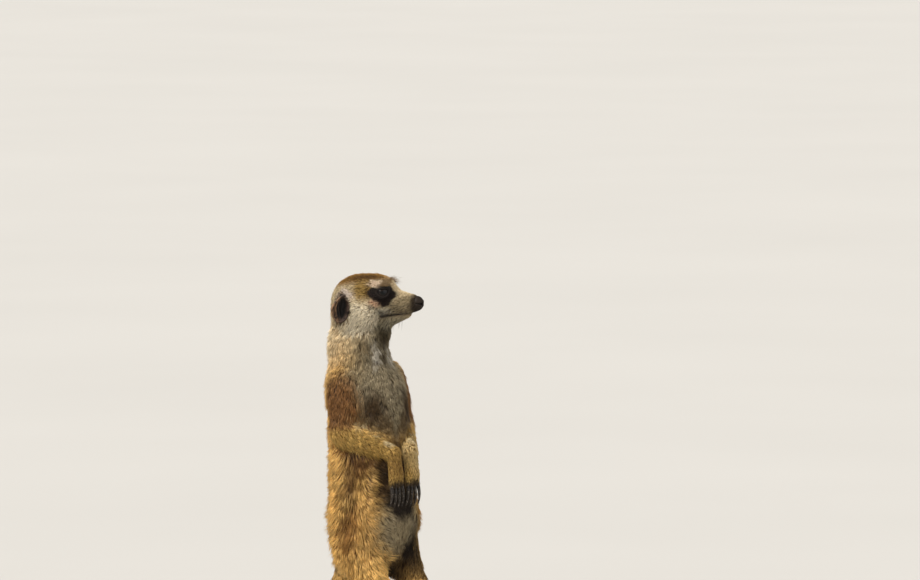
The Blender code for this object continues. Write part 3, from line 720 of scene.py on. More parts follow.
def grow_skin():
    """One closed skin over the whole body, finer on the head, hands and feet."""
    skin = hull_shell()
    remesh = skin.modifiers.new("skin", "REMESH")
    remesh.mode = "VOXEL"
    remesh.voxel_size = SKIN_CELL
    settle(skin)
    outside, inward, at_end = SMOOTHING
    points = vertices_of(skin)
    for _ in range(3):
        points = settled(smoothed(skin, points, outside), 0)
    shares, _ = region_shares(points)
    for part in (0.5, 1.0):
        depth = part * skin_depth(points, shares)
        points = settled(smoothed(skin, points, inward), depth)
    set_vertices(skin, with_ear_hollows(points))
    refined(skin, sum(shares[region] for region in DETAIL_REGIONS) > 0.6)
    points = vertices_of(skin)
    chosen = away_from_line(points, LIPS) < 4
    for side in SIDES.values():
        edge, reach = lid_edge(points, side)
        chosen |= (edge < 5) & (reach < EYE_SURROUND)
    refined(skin, chosen)
    points = smoothed(skin, vertices_of(skin), at_end)
    shares, _ = region_shares(points)
    points = settled(points, skin_depth(points, shares))
    set_vertices(skin, points)
    points = with_lips(points, normals_of(skin))
    points = with_lids(with_ear_hollows(points))
    points[:, 2] = np.maximum(points[:, 2], SKIN_FLOOR)
    set_vertices(skin, points)
    return skin


def dark_creases(points):
    """One in the line of the mouth, at the edges of the lids and inside the ears, and a
    little less in the creases of the cheeks."""
    dark = hump(away_from_line(points, LIPS), 0, 1.8)
    for crease in CHEEK_CREASES:
        dark = np.maximum(dark, 0.9 * hump(away_from_line(points, crease), 0, 1.3))
    for side in SIDES.values():
        edge, reach = lid_edge(points, side)
        dark = np.maximum(dark, smooth_step(2.0, 0.8, edge) * (reach < 9))
        dark = np.maximum(dark, smooth_step(1.04, 0.96, ear_edge(points, side)[2]))
    return dark


# Lie and size of the coat
def head_lie(points):
    """Backwards over the crown, down over the cheeks, and away from the eyes and ears."""
    head = to_head(points)
    down = 0.25 + 0.9 * smooth_step(0, -18, head[:, 2]) + 0.8 * smooth_step(-8, -26, head[:, 0])
    lie = -FORWARD - down[:, None] * UPWARD
    aside = np.sign(head[:, 1]) * smooth_step(2, 10, np.abs(head[:, 1]))
    lie = lie + 0.35 * aside[:, None] * LEFTWARD
    for side in SIDES.values():
        gap = points - head_side(EYE_PLACE, side)
        near = hump(np.linalg.norm(gap, axis=1), 0, 10)
        lie = lie + 1.6 * near[:, None] * unit(gap)
        near = hump(ear_edge(points, side)[0], 1, 0.45)
        lie = lie + 2.4 * near[:, None] * unit(points - head_side(EAR_PLACE, side))
    return unit(lie)


def torso_lie(points):
    """Down the body, parted along each flank and falling away on both sides."""
    x, y, z = points.T
    angle = body_angle(points)
    backwards = unit(np.stack([np.sign(x) * (5 - y), np.abs(x), 0 * x], axis=1))
    parting = 57 + 16 * smooth_step(84, 150, z)
    fan = 1.2 * np.clip((angle - parting) / 24, -1, 1)
    fan *= smooth_step(180, 140, angle) * smooth_step(4, 26, angle) * smooth_step(215, 185, z)
    return unit(fan[:, None] * backwards - UPWARD)


def coat_lie(points, shares, limb_lie):
    """The lie of the hair at each place, before it is laid along the skin."""
    trunk_lie = torso_lie(points)
    ways = {"head": head_lie(points), "torso": trunk_lie, "neck": unit((0, 0.12, -1))}
    ways["thigh"] = unit(0.6 * limb_lie + trunk_lie)
    for region, drop in LIMB_DROP.items():
        ways[region] = unit(limb_lie - drop * UPWARD)
    return unit(sum(shares[region][:, None] * way for region, way in ways.items()))


def coat_sizes(points, shares):
    """Length, rise, width and number of the tufts at each place."""
    sizes = {name: coat_value(shares, name) for name in ("length", "rise", "width", "number")}
    y, z = points[:, 1], points[:, 2]
    head = to_head(points)
    trunk = shares["torso"] + shares["thigh"]
    bare = shares["torso"] * front_share(points)
    angle = body_angle(points)
    flat = smooth_step(88, 60, angle) * (1 - bare) + 0.6 * smooth_step(100, 130, angle)
    muzzle = shares["head"] * smooth_step(14, 32, head[:, 0])
    cheek = shares["head"] * cheek_share(head, 160)
    rump = smooth_step(112, 84, z) * smooth_step(5, 25, y)
    hem = trunk * smooth_step(88, 56, z)
    calf = shares["shank"] * smooth_step(30, 52, z)
    shoulder = shares["upper_arm"] * smooth_step(220, 236, z)
    nape = shares["neck"] * smooth_step(12, 28, y)
    tail_root = shares["tail"] * smooth_step(40, 60, z)
    lips = away_from_line(points, LIPS)
    # where the coat differs, and by what part of themselves its sizes change there
    changes = [
        (muzzle, dict(length=-0.5, rise=-0.55, width=-0.3, number=0.8)),
        (cheek, dict(length=0.9, rise=0.9, width=0.2, number=-0.25)),
        (bare, dict(length=-0.5, rise=-0.7, width=-0.3, number=0.35)),
        (flat * trunk, dict(rise=-0.45)),
        (rump, dict(rise=-0.45)),
        (hem, dict(length=-0.5, rise=-0.5)),
        (calf, dict(length=0.5, rise=0.7)),
        (shoulder, dict(length=-0.45, rise=-0.65)),
        (nape, dict(rise=0.35)),
        (tail_root, dict(rise=-0.4)),
        (smooth_step(5, 1, lips), dict(rise=-0.6)),
        (smooth_step(5, 0.5, lips), dict(length=-0.6)),
    ]
    nose = np.linalg.norm((head - NOSE_PLACE) / NOSE_SIZE, axis=1)
    grows = smooth_step(0.5, 0.9, lips) * smooth_step(0.94, 1.02, nose) * (z >= 1.2)
    for side in SIDES.values():
        edge, reach = lid_edge(points, side)
        eye = (reach < EYE_SURROUND) & (edge < 6)
        lid = np.where(eye, smooth_step(5, 0.6, edge), 0)
        changes.append((lid, dict(length=-0.65, rise=-0.8, width=-0.4)))
        grows = grows * np.where(eye, smooth_step(0.5, 1.2, edge) * (1 + lid), 1)
        edge, _, bare_skin = ear_edge(points, side)
        changes.append((smooth_step(1.7, 1.0, edge), dict(length=-0.55)))
        grows = grows * smooth_step(0.96, 1.06, bare_skin)
    for share, change in changes:
        for name, amount in change.items():
            sizes[name] *= 1 + amount * share
    sizes["number"] *= grows
    tail_end = np.linalg.norm(points - TAIL_ROUTE[-1], axis=1)
    sizes["length"] *= np.clip((tail_end + 2) / 16, 0.3, 1)
    return sizes


class Coat:
    """All the roots of the coat on the skin, with what grows from each."""

    def __init__(self, skin):
        rng = np.random.default_rng(SEED)
        mesh = skin.data
        points = vertices_of(skin)
        shares, limb_lie = region_shares(points)
        sizes = coat_sizes(points, shares)
        mesh.calc_loop_triangles()
        corners = read(mesh.loop_triangles, "vertices", 3, np.int32)
        loops = read(mesh.loop_triangles, "loops", 3, np.int32)
        sides = points[corners[:, 1:]] - points[corners[:, :1]]
        area = 0.5 * np.linalg.norm(np.cross(sides[:, 0], sides[:, 1]), axis=1)
        ends = np.cumsum(area * sizes["number"][corners].mean(1))
        count = int(ends[-1])
        marks = (np.arange(count) + rng.random(count)) / count * ends[-1]
        chosen = np.searchsorted(ends, marks)
        first, second = np.sqrt(rng.random(count)), rng.random(count)
        weights = np.stack([1 - first, first * (1 - second), first * second], axis=1)
        corners = corners[chosen]

        def at_roots(values):
            """The values of the skin's vertices at the roots between them."""
            picked = values[corners]
            extra = (None,) * (picked.ndim - 2)
            return (picked * weights[(...,) + extra]).sum(1)

        uv = read(mesh.uv_layers["OFBake"].uv, "vector", 2)
        self.rng = rng
        self.uv = (uv[loops[chosen]] * weights[..., None]).sum(1)
        self.roots = at_roots(points)
        self.normals = unit(at_roots(normals_of(skin)))
        lie = at_roots(coat_lie(points, shares, limb_lie))
        self.lie = unit(lie - (lie * self.normals).sum(1)[:, None] * self.normals)
        self.shares = {name: at_roots(share) for name, share in shares.items()}
        self.depth = skin_depth(self.roots, self.shares)
        self.sizes = {name: at_roots(size) for name, size in sizes.items()}
        self.region = np.argmax(np.stack([self.shares[name] for name in COATS]), axis=0)

    def chosen(self, regions):
        """Numbers of the roots in some regions."""
        names = list(COATS)
        return np.flatnonzero(np.isin(self.region, [names.index(r) for r in regions]))

    def locks(self, roots, gathered):
        """For each tuft, the one that leads the lock it belongs to."""
        leaders = self.rng.choice(len(roots), max(len(roots) // gathered, 1), replace=False)
        tree = KDTree(len(leaders))
        for number, leader in enumerate(leaders):
            tree.insert(self.roots[roots[leader]], number)
        tree.balance()
        return leaders[[tree.find(root)[1] for root in self.roots[roots]]]

    def stations(self, roots, bends, leaders):
        """Places along each tuft, from its root to its tip, drawn towards its lock."""
        rng = self.rng
        count = len(roots)
        starts, normals, lie = self.roots[roots], self.normals[roots], self.lie[roots]
        side = np.cross(normals, lie)

        def varied(low, high):
            """A random number for each tuft, more alike within a lock."""
            own = rng.uniform(low, high, count)
            return 0.6 * own + 0.4 * own[leaders]

        length = self.sizes["length"][roots] * varied(0.65, 1.25)
        rise = self.sizes["rise"][roots] * varied(0.45, 1.15)
        veer, bend = varied(-0.45, 0.45), varied(-0.3, 0.3)
        rise = np.where(rng.random(count) < STRAYS, rise * STRAY_RISE, rise)
        raised = distance_to(BODY, starts) + self.depth[roots]
        shares = np.linspace(0, 1, bends + 2)
        places = []
        for share in shares:
            height = -ROOT_DEPTH + (rise + ROOT_DEPTH) * share**0.75
            sideways = (veer * share + bend * share**2) * length
            place = starts + lie * (length * share)[:, None]
            place += side * sideways[:, None] + normals * height[:, None]
            if share > 0:
                away = distance_to(BODY, place) + self.depth[roots] - raised
                place += normals * np.clip(height - away, -TIP_SHIFT, TIP_SHIFT)[:, None]
            places.append(place)
        stations = np.stack(places, axis=1)
        pull = rng.uniform(*LOCK_PULL[bends], count)[:, None] * shares
        stations += pull[..., None] * (stations[leaders] - stations)
        stations[..., 2] = np.maximum(stations[..., 2], COAT_FLOOR)
        return stations


def tuft_pattern(bends):
    """Faces, vertices' place along and round, and corners' patch, of one tuft."""
    rings = bends + 1
    tip = 3 * rings
    faces, patch = [], []
    for ring in range(rings - 1):
        for n in range(3):
            low, high = 3 * ring, 3 * ring + 3
            faces.append((low + n, low + (n + 1) % 3, high + (n + 1) % 3, high + n))
            v = (ring / rings, (ring + 1) / rings)
            patch += [(n / 3, v[0]), ((n + 1) / 3, v[0]), ((n + 1) / 3, v[1]), (n / 3, v[1])]
    for n in range(3):
        low = tip - 3
        faces.append((low + n, low + (n + 1) % 3, tip))
        v = (rings - 1) / rings
        patch += [(n / 3, v), ((n + 1) / 3, v), ((n + 0.5) / 3, 1.0)]
    faces.append((2, 1, 0))
    patch += [(0.6, 0.0), (0.3, 0.0), (0.0, 0.0)]
    along = [ring / rings for ring in range(rings) for _ in range(3)] + [1.0]
    return faces, np.array(patch), np.array(along)


def tuft_mesh(name, coat, roots, bends, stations, lock_shade):
    """Closed, flat, tapered tufts as one mesh."""
    count = len(roots)
    normals = coat.normals[roots]
    width = coat.sizes["width"][roots] * coat.rng.uniform(0.75, 1.25, count)
    run = unit(stations[:, -1] - stations[:, 0])
    across = unit(np.cross(normals, run))
    verts = []
    for ring, breadth in enumerate(TUFT_BREADTH[bends]):
        half = (0.5 * breadth * width)[:, None]
        centre = stations[:, ring]
        verts += [centre - across * half, centre + across * half]
        verts.append(centre + normals * half * 2 * TUFT_THICKNESS)
    verts.append(stations[:, -1])
    verts = np.stack(verts, axis=1)
    faces, patch, along = tuft_pattern(bends)
    per_tuft = verts.shape[1]
    corners = np.concatenate([np.array(face) for face in faces])
    corners = (np.arange(count)[:, None] * per_tuft + corners).ravel()
    sizes = np.tile([len(face) for face in faces], count)
    mesh = bpy.data.meshes.new(name)
    mesh.vertices.add(count * per_tuft)
    mesh.vertices.foreach_set("co", to_frame(verts).ravel())
    mesh.loops.add(len(corners))
    mesh.loops.foreach_set("vertex_index", corners.astype(np.int32))
    mesh.polygons.add(len(sizes))
    starts = np.concatenate([[0], np.cumsum(sizes)[:-1]])
    mesh.polygons.foreach_set("loop_start", starts.astype(np.int32))
    mesh.update(calc_edges=True)
    layer = mesh.uv_layers.new(name="OFBake")
    uv = coat.uv[roots][:, None] + (patch - 0.5) * PATCH
    layer.uv.foreach_set("vector", np.clip(uv, 0, 1).ravel())
    shares = {name: np.repeat(share[roots], per_tuft) for name, share in coat.shares.items()}
    store_places(mesh, np.repeat(coat.roots[roots], per_tuft, axis=0), shares)
    store(mesh, "along", np.tile(along, count))
    store(mesh, "shade", np.repeat(coat.rng.random(count), per_tuft))
    store(mesh, "lock_shade", np.repeat(lock_shade, per_tuft))
    middles = stations.mean(axis=1)
    store(mesh, "crease", np.repeat(dark_creases(middles), per_tuft))
    return mesh


def grow_coat(skin, finish):
    """The pieces of the coat, each in parts that aren't too large."""
    coat = Coat(skin)
    for piece, (regions, slot) in COAT_PIECES.items():
        bends = COATS[regions[0]]["bends"]
        roots = coat.chosen(regions)
        leaders = coat.locks(roots, COATS[regions[0]]["lock"])
        stations = coat.stations(roots, bends, leaders)
        lock_shade = coat.rng.random(len(roots))[leaders]
        parts = math.ceil(len(roots) * TUFT_TRIANGLES[bends] / MOST_TRIANGLES)
        for part, numbers in enumerate(np.array_split(np.arange(len(roots)), parts), 1):
            name = piece if parts == 1 else f"{piece}_{part}"
            chosen = (roots[numbers], bends, stations[numbers], lock_shade[numbers])
            mesh = tuft_mesh(name, coat, *chosen)
            obj = add_object(name, mesh)
            mesh.materials.append(finish)
            mesh.shade_smooth()
            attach(obj, "root")


# Eyes, ears, nose, claws and whiskers
def add_tube(source, rows):
    """Adds a closed tube of rings of places, with both ends filled."""
    loops = [[source.verts.new(place) for place in row] for row in rows]
    for lower, upper in zip(loops, loops[1:]):
        for n in range(len(lower)):
            after = (n + 1) % len(lower)
            source.faces.new((lower[n], lower[after], upper[after], upper[n]))
    source.faces.new(loops[0][::-1])
    source.faces.new(loops[-1])


def tube_object(name, rows):
    """A closed tube as an object of its own."""
    source = bmesh.new()
    add_tube(source, rows)
    bmesh.ops.remove_doubles(source, verts=source.verts, dist=1e-4)
    bmesh.ops.recalc_face_normals(source, faces=source.faces)
    return from_bmesh(name, source)


def eyeball(label, side, finish):
    """A ball with a clear bulge over the iris."""
    axes = facing_axes(EYE_LOOK, side)
    centre = head_side(EYE_PLACE, side)
    rows = []
    rings, steps = EYE_GRID
    for ring in range(1, rings):
        angle = math.pi * ring / rings
        radius = EYE_RADIUS - 0.12 + 0.32 * hump(angle, 0, 0.55)
        out, wide = math.cos(angle), math.sin(angle)
        places = [(wide * math.cos(turn), out, wide * math.sin(turn)) for turn in turns(steps)]
        rows.append([centre + radius * np.array(place) @ axes for place in places])
    eye = tube_object("eyeball_" + label, rows)
    local = unit(vertices_of(eye) - centre) @ axes.T
    store(eye.data, "gaze", local[:, (0, 2, 1)])
    unwrap(eye)
    seat(eye, finish, ["eye_" + label])


def cup_relief(behind, up, share):
    """How far the two ridges and the hollow in front of them stand out inside an ear."""
    ridge = hump(behind + 0.15 * up, 0.42, 0.12)
    second = hump(behind + 0.3 * up, 0.08, 0.09)
    hollow = hump(behind, -0.4, 0.25)
    edge = smooth_step(0.82, 0.6, share) * smooth_step(0.95, 0.6, abs(up))
    return (2.4 * ridge + 1.5 * second - 1.6 * hollow) * edge


def ear(label, side, finish):
    """A low cup with a rolled rim, a deep hollow in front and two ridges inside."""
    axes = facing_axes(EAR_FACING, side)
    centre = head_side(EAR_PLACE, side)
    width, depth, height = EAR_SIZE
    # each ring's share of the ear's size, and how far out it lies: from the middle of the
    # back, out round the rim, and in to the bottom of the cup
    back = [(s, -depth * math.sqrt(1 - s**2) + 0.6) for s in np.linspace(0.03, 0.97, 10)]
    rim = [(0.985, 0.2), (1.0, 1.0), (0.985, 1.7), (0.94, 2.1), (0.88, 1.9), (0.83, 1.2)]
    cup = [(s, -2.9 + 3.6 * (s / 0.83) ** 3) for s in np.linspace(0.78, 0.03, 16)]
    rows = []
    for number, (share, out) in enumerate(back + rim + cup):
        in_cup = number >= len(back + rim)
        row = []
        for around in turns(EAR_STEPS):
            behind, up = share * math.cos(around) * side, share * math.sin(around)
            here = out + cup_relief(behind, up, share) if in_cup else out
            lean, narrow = ear_outline(up)
            local = ((behind * narrow + lean) * width * side, here, height * up)
            row.append(centre + np.array(local) @ axes)
        rows.append(row)
    made = tube_object("ear_cup_" + label, rows)
    local = (vertices_of(made) - centre) @ axes.T / EAR_SIZE
    store(made.data, "ear_place", local * (side, 1, 1))
    store(made.data, "haired", np.arange(len(local)) < len(back) * EAR_STEPS)
    unwrap(made)
    seat(made, finish, ["ear_" + label])


def nose_relief(aside, up):
    """How far the face of the nose goes in at a place, and how dark it is there, as painted shade
    in the nostrils and the groove.
    """
    pit = math.hypot((aside - 2.5) / 1.35, (up - 0.2) / 1.5)
    slit = math.hypot((aside - 4.0) / 2.0, (up + 0.3 - 0.3 * (aside - 3.5)) / 0.8)
    nostril = 2.3 * smooth_step(1.15, 0.35, pit) + 1.3 * smooth_step(1.2, 0.4, slit)
    groove = 0.55 * hump(aside, 0, 0.4) * smooth_step(2.0, -2.5, up)
    wing = 0.35 * math.exp(-((pit - 1.5) ** 2) / 0.08)
    return nostril + groove - wing, min(0.45 * nostril + 1.2 * groove, 1)


def nose(finish):
    """A damp pad with two comma-shaped nostrils and a groove down the middle."""
    centre = np.array(NOSE_PLACE)
    size = np.array(NOSE_SIZE) + (0.1, 0.2, 0)
    rows, creases = [], []
    rings, steps = NOSE_GRID
    for ring in range(1, rings):
        angle = math.pi * ring / rings
        ahead = math.copysign(abs(math.cos(angle)) ** 0.8, math.cos(angle))
        bulk = math.sin(angle) ** 0.8 * (1 + 0.10 * smooth_step(0.75, -0.1, ahead))
        row = []
        for around in turns(steps):
            y, z = bulk * math.cos(around), bulk * math.sin(around)
            local = np.array((ahead - 0.12 * (z - 0.3) ** 2, y, z)) * size
            # the darkness is painted shade in the sunk nostrils and groove
            sunk, dark = nose_relief(abs(local[1]), local[2]) if ahead > -0.2 else (0, 0)
            creases.append(dark)
            row.append(on_head(centre + local * (1 - sunk / np.linalg.norm(size) * 1.6)))
        rows.append(row)
    made = tube_object("nose_pad", rows)
    store(made.data, "nose_place", (to_head(vertices_of(made)) - centre) / size)
    store(made.data, "crease", np.array(creases, float))
    unwrap(made)
    seat(made, finish, ["nose"])


def claw_rows(root, direction, curl, size):
    """Rings along a claw that tapers and bends towards curl."""
    length, thickness = size
    direction, curl = unit(direction), unit(curl)
    side = np.cross(direction, curl)
    rows = []
    for ring in range(-2, CLAW_RINGS):
        share = ring / CLAW_RINGS
        bend = CLAW_BEND * share
        ahead = direction * math.sin(bend) + curl * (1 - math.cos(bend))
        upright = curl * math.cos(bend) - direction * math.sin(bend)
        radius = thickness * (1 - 0.9 * max(share, 0) ** 1.7)
        centre = root + length / CLAW_BEND * ahead
        row = []
        for angle in turns(CLAW_STEPS):
            under = 1.0 if math.sin(angle) < 0.2 else 0.8
            offset = 0.95 * side * math.cos(angle) + 1.15 * under * upright * math.sin(angle)
            row.append(centre + radius * offset)
        rows.append(row)
    return rows


def claws(label, side, limb, finish):
    """The four claws of one hand or foot as one piece."""
    source = bmesh.new()
    lengths, nodes = [], []
    for number, spread in enumerate(DIGIT_SPREAD, 1):
        if limb == "front":
            root = np.array(fingertip(spread, side))
            rows = claw_rows(root, (0.05 * spread, -0.4, -1), (0, 1, -0.4), FRONT_CLAW)
        else:
            root = sided(toe_tip(spread), side) + UPWARD
            rows = claw_rows(root, (0.10 * spread * side, -1, 0.12), (0, -0.1, -1), HIND_CLAW)
        add_tube(source, rows)
        lengths += [ring / len(rows) for ring in range(len(rows)) for _ in rows[0]]
        nodes.append(f"{limb}_claw_{label}_{number}")
    bmesh.ops.recalc_face_normals(source, faces=source.faces)
    made = from_bmesh(f"{limb}_claws_{label}", source)
    store(made.data, "along", np.array(lengths))
    unwrap(made)
    seat(made, finish, nodes)


def whiskers(finish):
    """Stiff dark bristles on the muzzle and the chin."""
    rows, in_row = WHISKER_ROWS
    hairs = []
    for side in SIDES.values():
        for row in range(rows):
            for n in range(in_row):
                ahead, up = 38 - 3.2 * n - row, -2.5 - 2.0 * row
                hairs.append((side, ahead, up, (-0.25 - 0.1 * n, 0.9, -0.25 * row), 17 + 2 * n))
        for n in range(CHIN_BRISTLES):
            hairs.append((side, 30 - 4 * n, -14, (-0.2, 0.5, -0.9), 11))
    bristles("whiskers", hairs, 0.17, finish)


def brow_hair(finish):
    """Loose hair over each eye that reaches forward past the brow."""
    rng = np.random.default_rng(SEED + 2)
    hairs = []
    for side in SIDES.values():
        for n in range(BROW_HAIRS):
            ahead, up = 20 - 0.07 * n, 13.5 + 5.5 * rng.random()
            way = (0.85, 0.15, 0.05 + 0.35 * rng.random())
            hairs.append((side, ahead, up, way, 5 + 5.5 * rng.random()))
    bristles("brow_hair", hairs, 0.12, finish)


def bristles(name, hairs, thickness, finish):
    """Single hairs: the side each grows on, its place forward and up, its way, its length."""
    rng = np.random.default_rng(SEED + 1)
    source = bmesh.new()
    for side, ahead, up, way, length in hairs:
        aside = face_width(ahead, up, side, 10) - HAIR_ROOT
        root = on_head((ahead, aside * side, up))
        way = unit(np.array((way[0], way[1] * side, way[2])) + rng.normal(0, 0.1, 3)) @ HEAD_AXES
        length = length * rng.uniform(0.7, 1.1)
        sag = rng.uniform(0.02, 0.14)
        across = unit(np.cross(way, UPWARD))
        over = np.cross(across, way)
        corners = (across, -0.5 * across + 0.87 * over, -0.5 * across - 0.87 * over)
        rows = []
        for share in np.linspace(0, 0.93, 6):
            centre = root + way * length * share - UPWARD * sag * length * share**2
            radius = thickness * (1 - share) + 0.02
            rows.append([centre + radius * corner for corner in corners])
        add_tube(source, rows)
    bmesh.ops.recalc_face_normals(source, faces=source.faces)
    seat(from_bmesh(name, source), finish)


# Materials
def rgba(colour):
    """A colour seen on a screen, 0 to 255, as light."""
    shares = [c / 255 for c in colour]
    light = [c / 12.92 if c <= 0.04045 else ((c + 0.055) / 1.055) ** 2.4 for c in shares]
    return (*light, 1)


class Tree:
    """A node tree in the making."""

    def __init__(self, tree):
        self.tree = tree

    def node(self, kind, inputs=None, **settings):
        made = self.tree.nodes.new(kind)
        for name, value in settings.items():
            setattr(made, name, value)
        for name, value in (inputs or {}).items():
            self.feed(made.inputs[name], value)
        return made

    def feed(self, socket, value):
        if isinstance(value, bpy.types.NodeSocket):
            self.tree.links.new(value, socket)
        else:
            socket.default_value = value

    def math(self, operation, *values):
        made = self.node("ShaderNodeMath", dict(enumerate(values)), operation=operation)
        return made.outputs[0]

    def times(self, first, *others):
        """The product of some numbers."""
        for other in others:
            first = self.math("MULTIPLY", first, other)
        return first

    def vector(self, operation, *values):
        made = self.node("ShaderNodeVectorMath", dict(enumerate(values)), operation=operation)
        return made.outputs["Value" if operation == "LENGTH" else "Vector"]

    def parts(self, vector):
        return self.node("ShaderNodeSeparateXYZ", {0: vector}).outputs

    def joined(self, *parts):
        return self.node("ShaderNodeCombineXYZ", dict(enumerate(parts))).outputs[0]

    def mix(self, share, first, second, blend="MIX"):
        made = self.node("ShaderNodeMix", data_type="RGBA", blend_type=blend)
        self.feed(made.inputs[0], share)
        self.feed(made.inputs[6], first)
        self.feed(made.inputs[7], second)
        return made.outputs[2]

    def tinted(self, colour, tint):
        """A colour times another."""
        return self.mix(1.0, colour, tint, "MULTIPLY")

    def ramp(self, value, low, high):
        """A smooth step of a value from low to high."""
        inputs = {"Value": value, "From Min": low, "From Max": high}
        made = self.node("ShaderNodeMapRange", inputs, interpolation_type="SMOOTHSTEP")
        return made.outputs[0]

    def noise(self, place, scale, detail=3.0, output=0):
        inputs = {"Vector": place, "Scale": scale, "Detail": detail}
        return self.node("ShaderNodeTexNoise", inputs).outputs[output]

    def attribute(self, name, output="Fac"):
        return self.node("ShaderNodeAttribute", attribute_name=name).outputs[output]

    def object_place(self):
        return self.node("ShaderNodeTexCoord").outputs["Object"]

    def group(self, name, label="", **inputs):
        made = self.node("ShaderNodeGroup", node_tree=bpy.data.node_groups[name], label=label)
        for key, value in inputs.items():
            self.feed(made.inputs[key.replace("_", " ").capitalize()], value)
        return made.outputs


SOCKETS = {
    "float": "NodeSocketFloat",
    "vector": "NodeSocketVector",
    "colour": "NodeSocketColor",
}


def new_group(name, inputs, outputs):
    """A shader node group with named inputs and outputs, each with its kind."""
    group = bpy.data.node_groups.new(name, "ShaderNodeTree")
    for in_out, sockets in (("INPUT", inputs), ("OUTPUT", outputs)):
        for label, kind in sockets.items():
            group.interface.new_socket(label, in_out=in_out, socket_type=SOCKETS[kind])
    tree = Tree(group)
    source = tree.node("NodeGroupInput").outputs
    sink = tree.node("NodeGroupOutput").inputs
    return tree, source, sink


def oval_group():
    """A soft-edged oval mark at a place."""
    inputs = {"Place": "vector", "Centre": "vector", "Size": "vector", "Softness": "float"}
    tree, source, sink = new_group("oval_mark", inputs, {"Mask": "float"})
    gap = tree.vector("SUBTRACT", source["Place"], source["Centre"])
    reach = tree.vector("LENGTH", tree.vector("DIVIDE", gap, source["Size"]))
    outer = tree.math("ADD", 1.0, source["Softness"])
    inner = tree.math("SUBTRACT", 1.0, source["Softness"])
    tree.feed(sink["Mask"], tree.ramp(reach, outer, inner))


# Markings: name, centre, half sizes, softness, colour of the under coat and of the tips.
# Places on the head are forward, aside and up of the skull's centre. A later marking
# covers an earlier one.
# Some of these marks are painted shade or painted shadow, not the coat's own colour.
HEAD_MARKS = (
    ("pale neck side", (-8, 20, -22), (17, 14, 15), 0.5, (162, 144, 112), (206, 190, 158)),
    ("cream cheek", (0, 17, -10), (15, 14, 11), 0.35, (202, 185, 152), (232, 220, 194)),
    ("tan crown", (-2, 0, 21), (27, 16, 12), 0.3, (100, 68, 24), (140, 102, 44)),
    ("brown brow line", (6, 9, 19.8), (16, 5, 2.9), 0.5, (66, 42, 14), (98, 68, 28)),
    ("olive temple", (3.5, 16, 10.5), (7, 9, 8.5), 0.5, (118, 90, 40), (158, 129, 72)),
    ("lilac above ear", (-11, 19, 5.5), (8.5, 9, 5.5), 0.45, (164, 146, 132), (204, 188, 174)),
    ("pale brow", (14.5, 12, 14.4), (7.5, 7, 2.3), 0.4, (206, 176, 146), (232, 210, 184)),
    ("pale lip", (20, 11, -6), (8, 8, 3.2), 0.4, (168, 156, 130), (210, 200, 176)),
    ("grey muzzle", (36, 6, -2.5), (13, 8, 7), 0.35, (104, 91, 66), (168, 151, 118)),
    ("pale bridge", (29, 0, 10.2), (12, 9, 5), 0.35, (193, 169, 128), (226, 207, 170)),
    ("grey chin", (22, 2, -17), (19, 10, 6), 0.4, (120, 110, 88), (168, 158, 132)),
    # painted shadow under the chin, on the throat
    ("dark throat", (11, 4, -25), (12, 10, 9), 0.45, (48, 40, 26), (76, 65, 44)),
    ("pink under eye", (13, 14.5, 1), (5, 6, 3), 0.5, (190, 150, 120), (214, 178, 146)),
    ("eye patch", (17, 11, 7.4), (9.6, 9, 6.8), 0.14, (24, 17, 14), (38, 28, 23)),
    ("eye patch behind", (10.5, 14, 8.4), (4.6, 7, 4.4), 0.2, (28, 20, 17), (44, 33, 28)),
    ("eye patch in front", (24, 8, 6.4), (5, 6, 3.6), 0.2, (28, 20, 16), (44, 33, 26)),
    ("eye patch below", (20, 10, 1.8), (5, 6, 3.4), 0.2, (26, 19, 15), (42, 31, 25)),
    ("dark nose end", (43.5, 0, -2), (6, 8, 9), 0.35, (36, 27, 19), (58, 46, 32)),
)
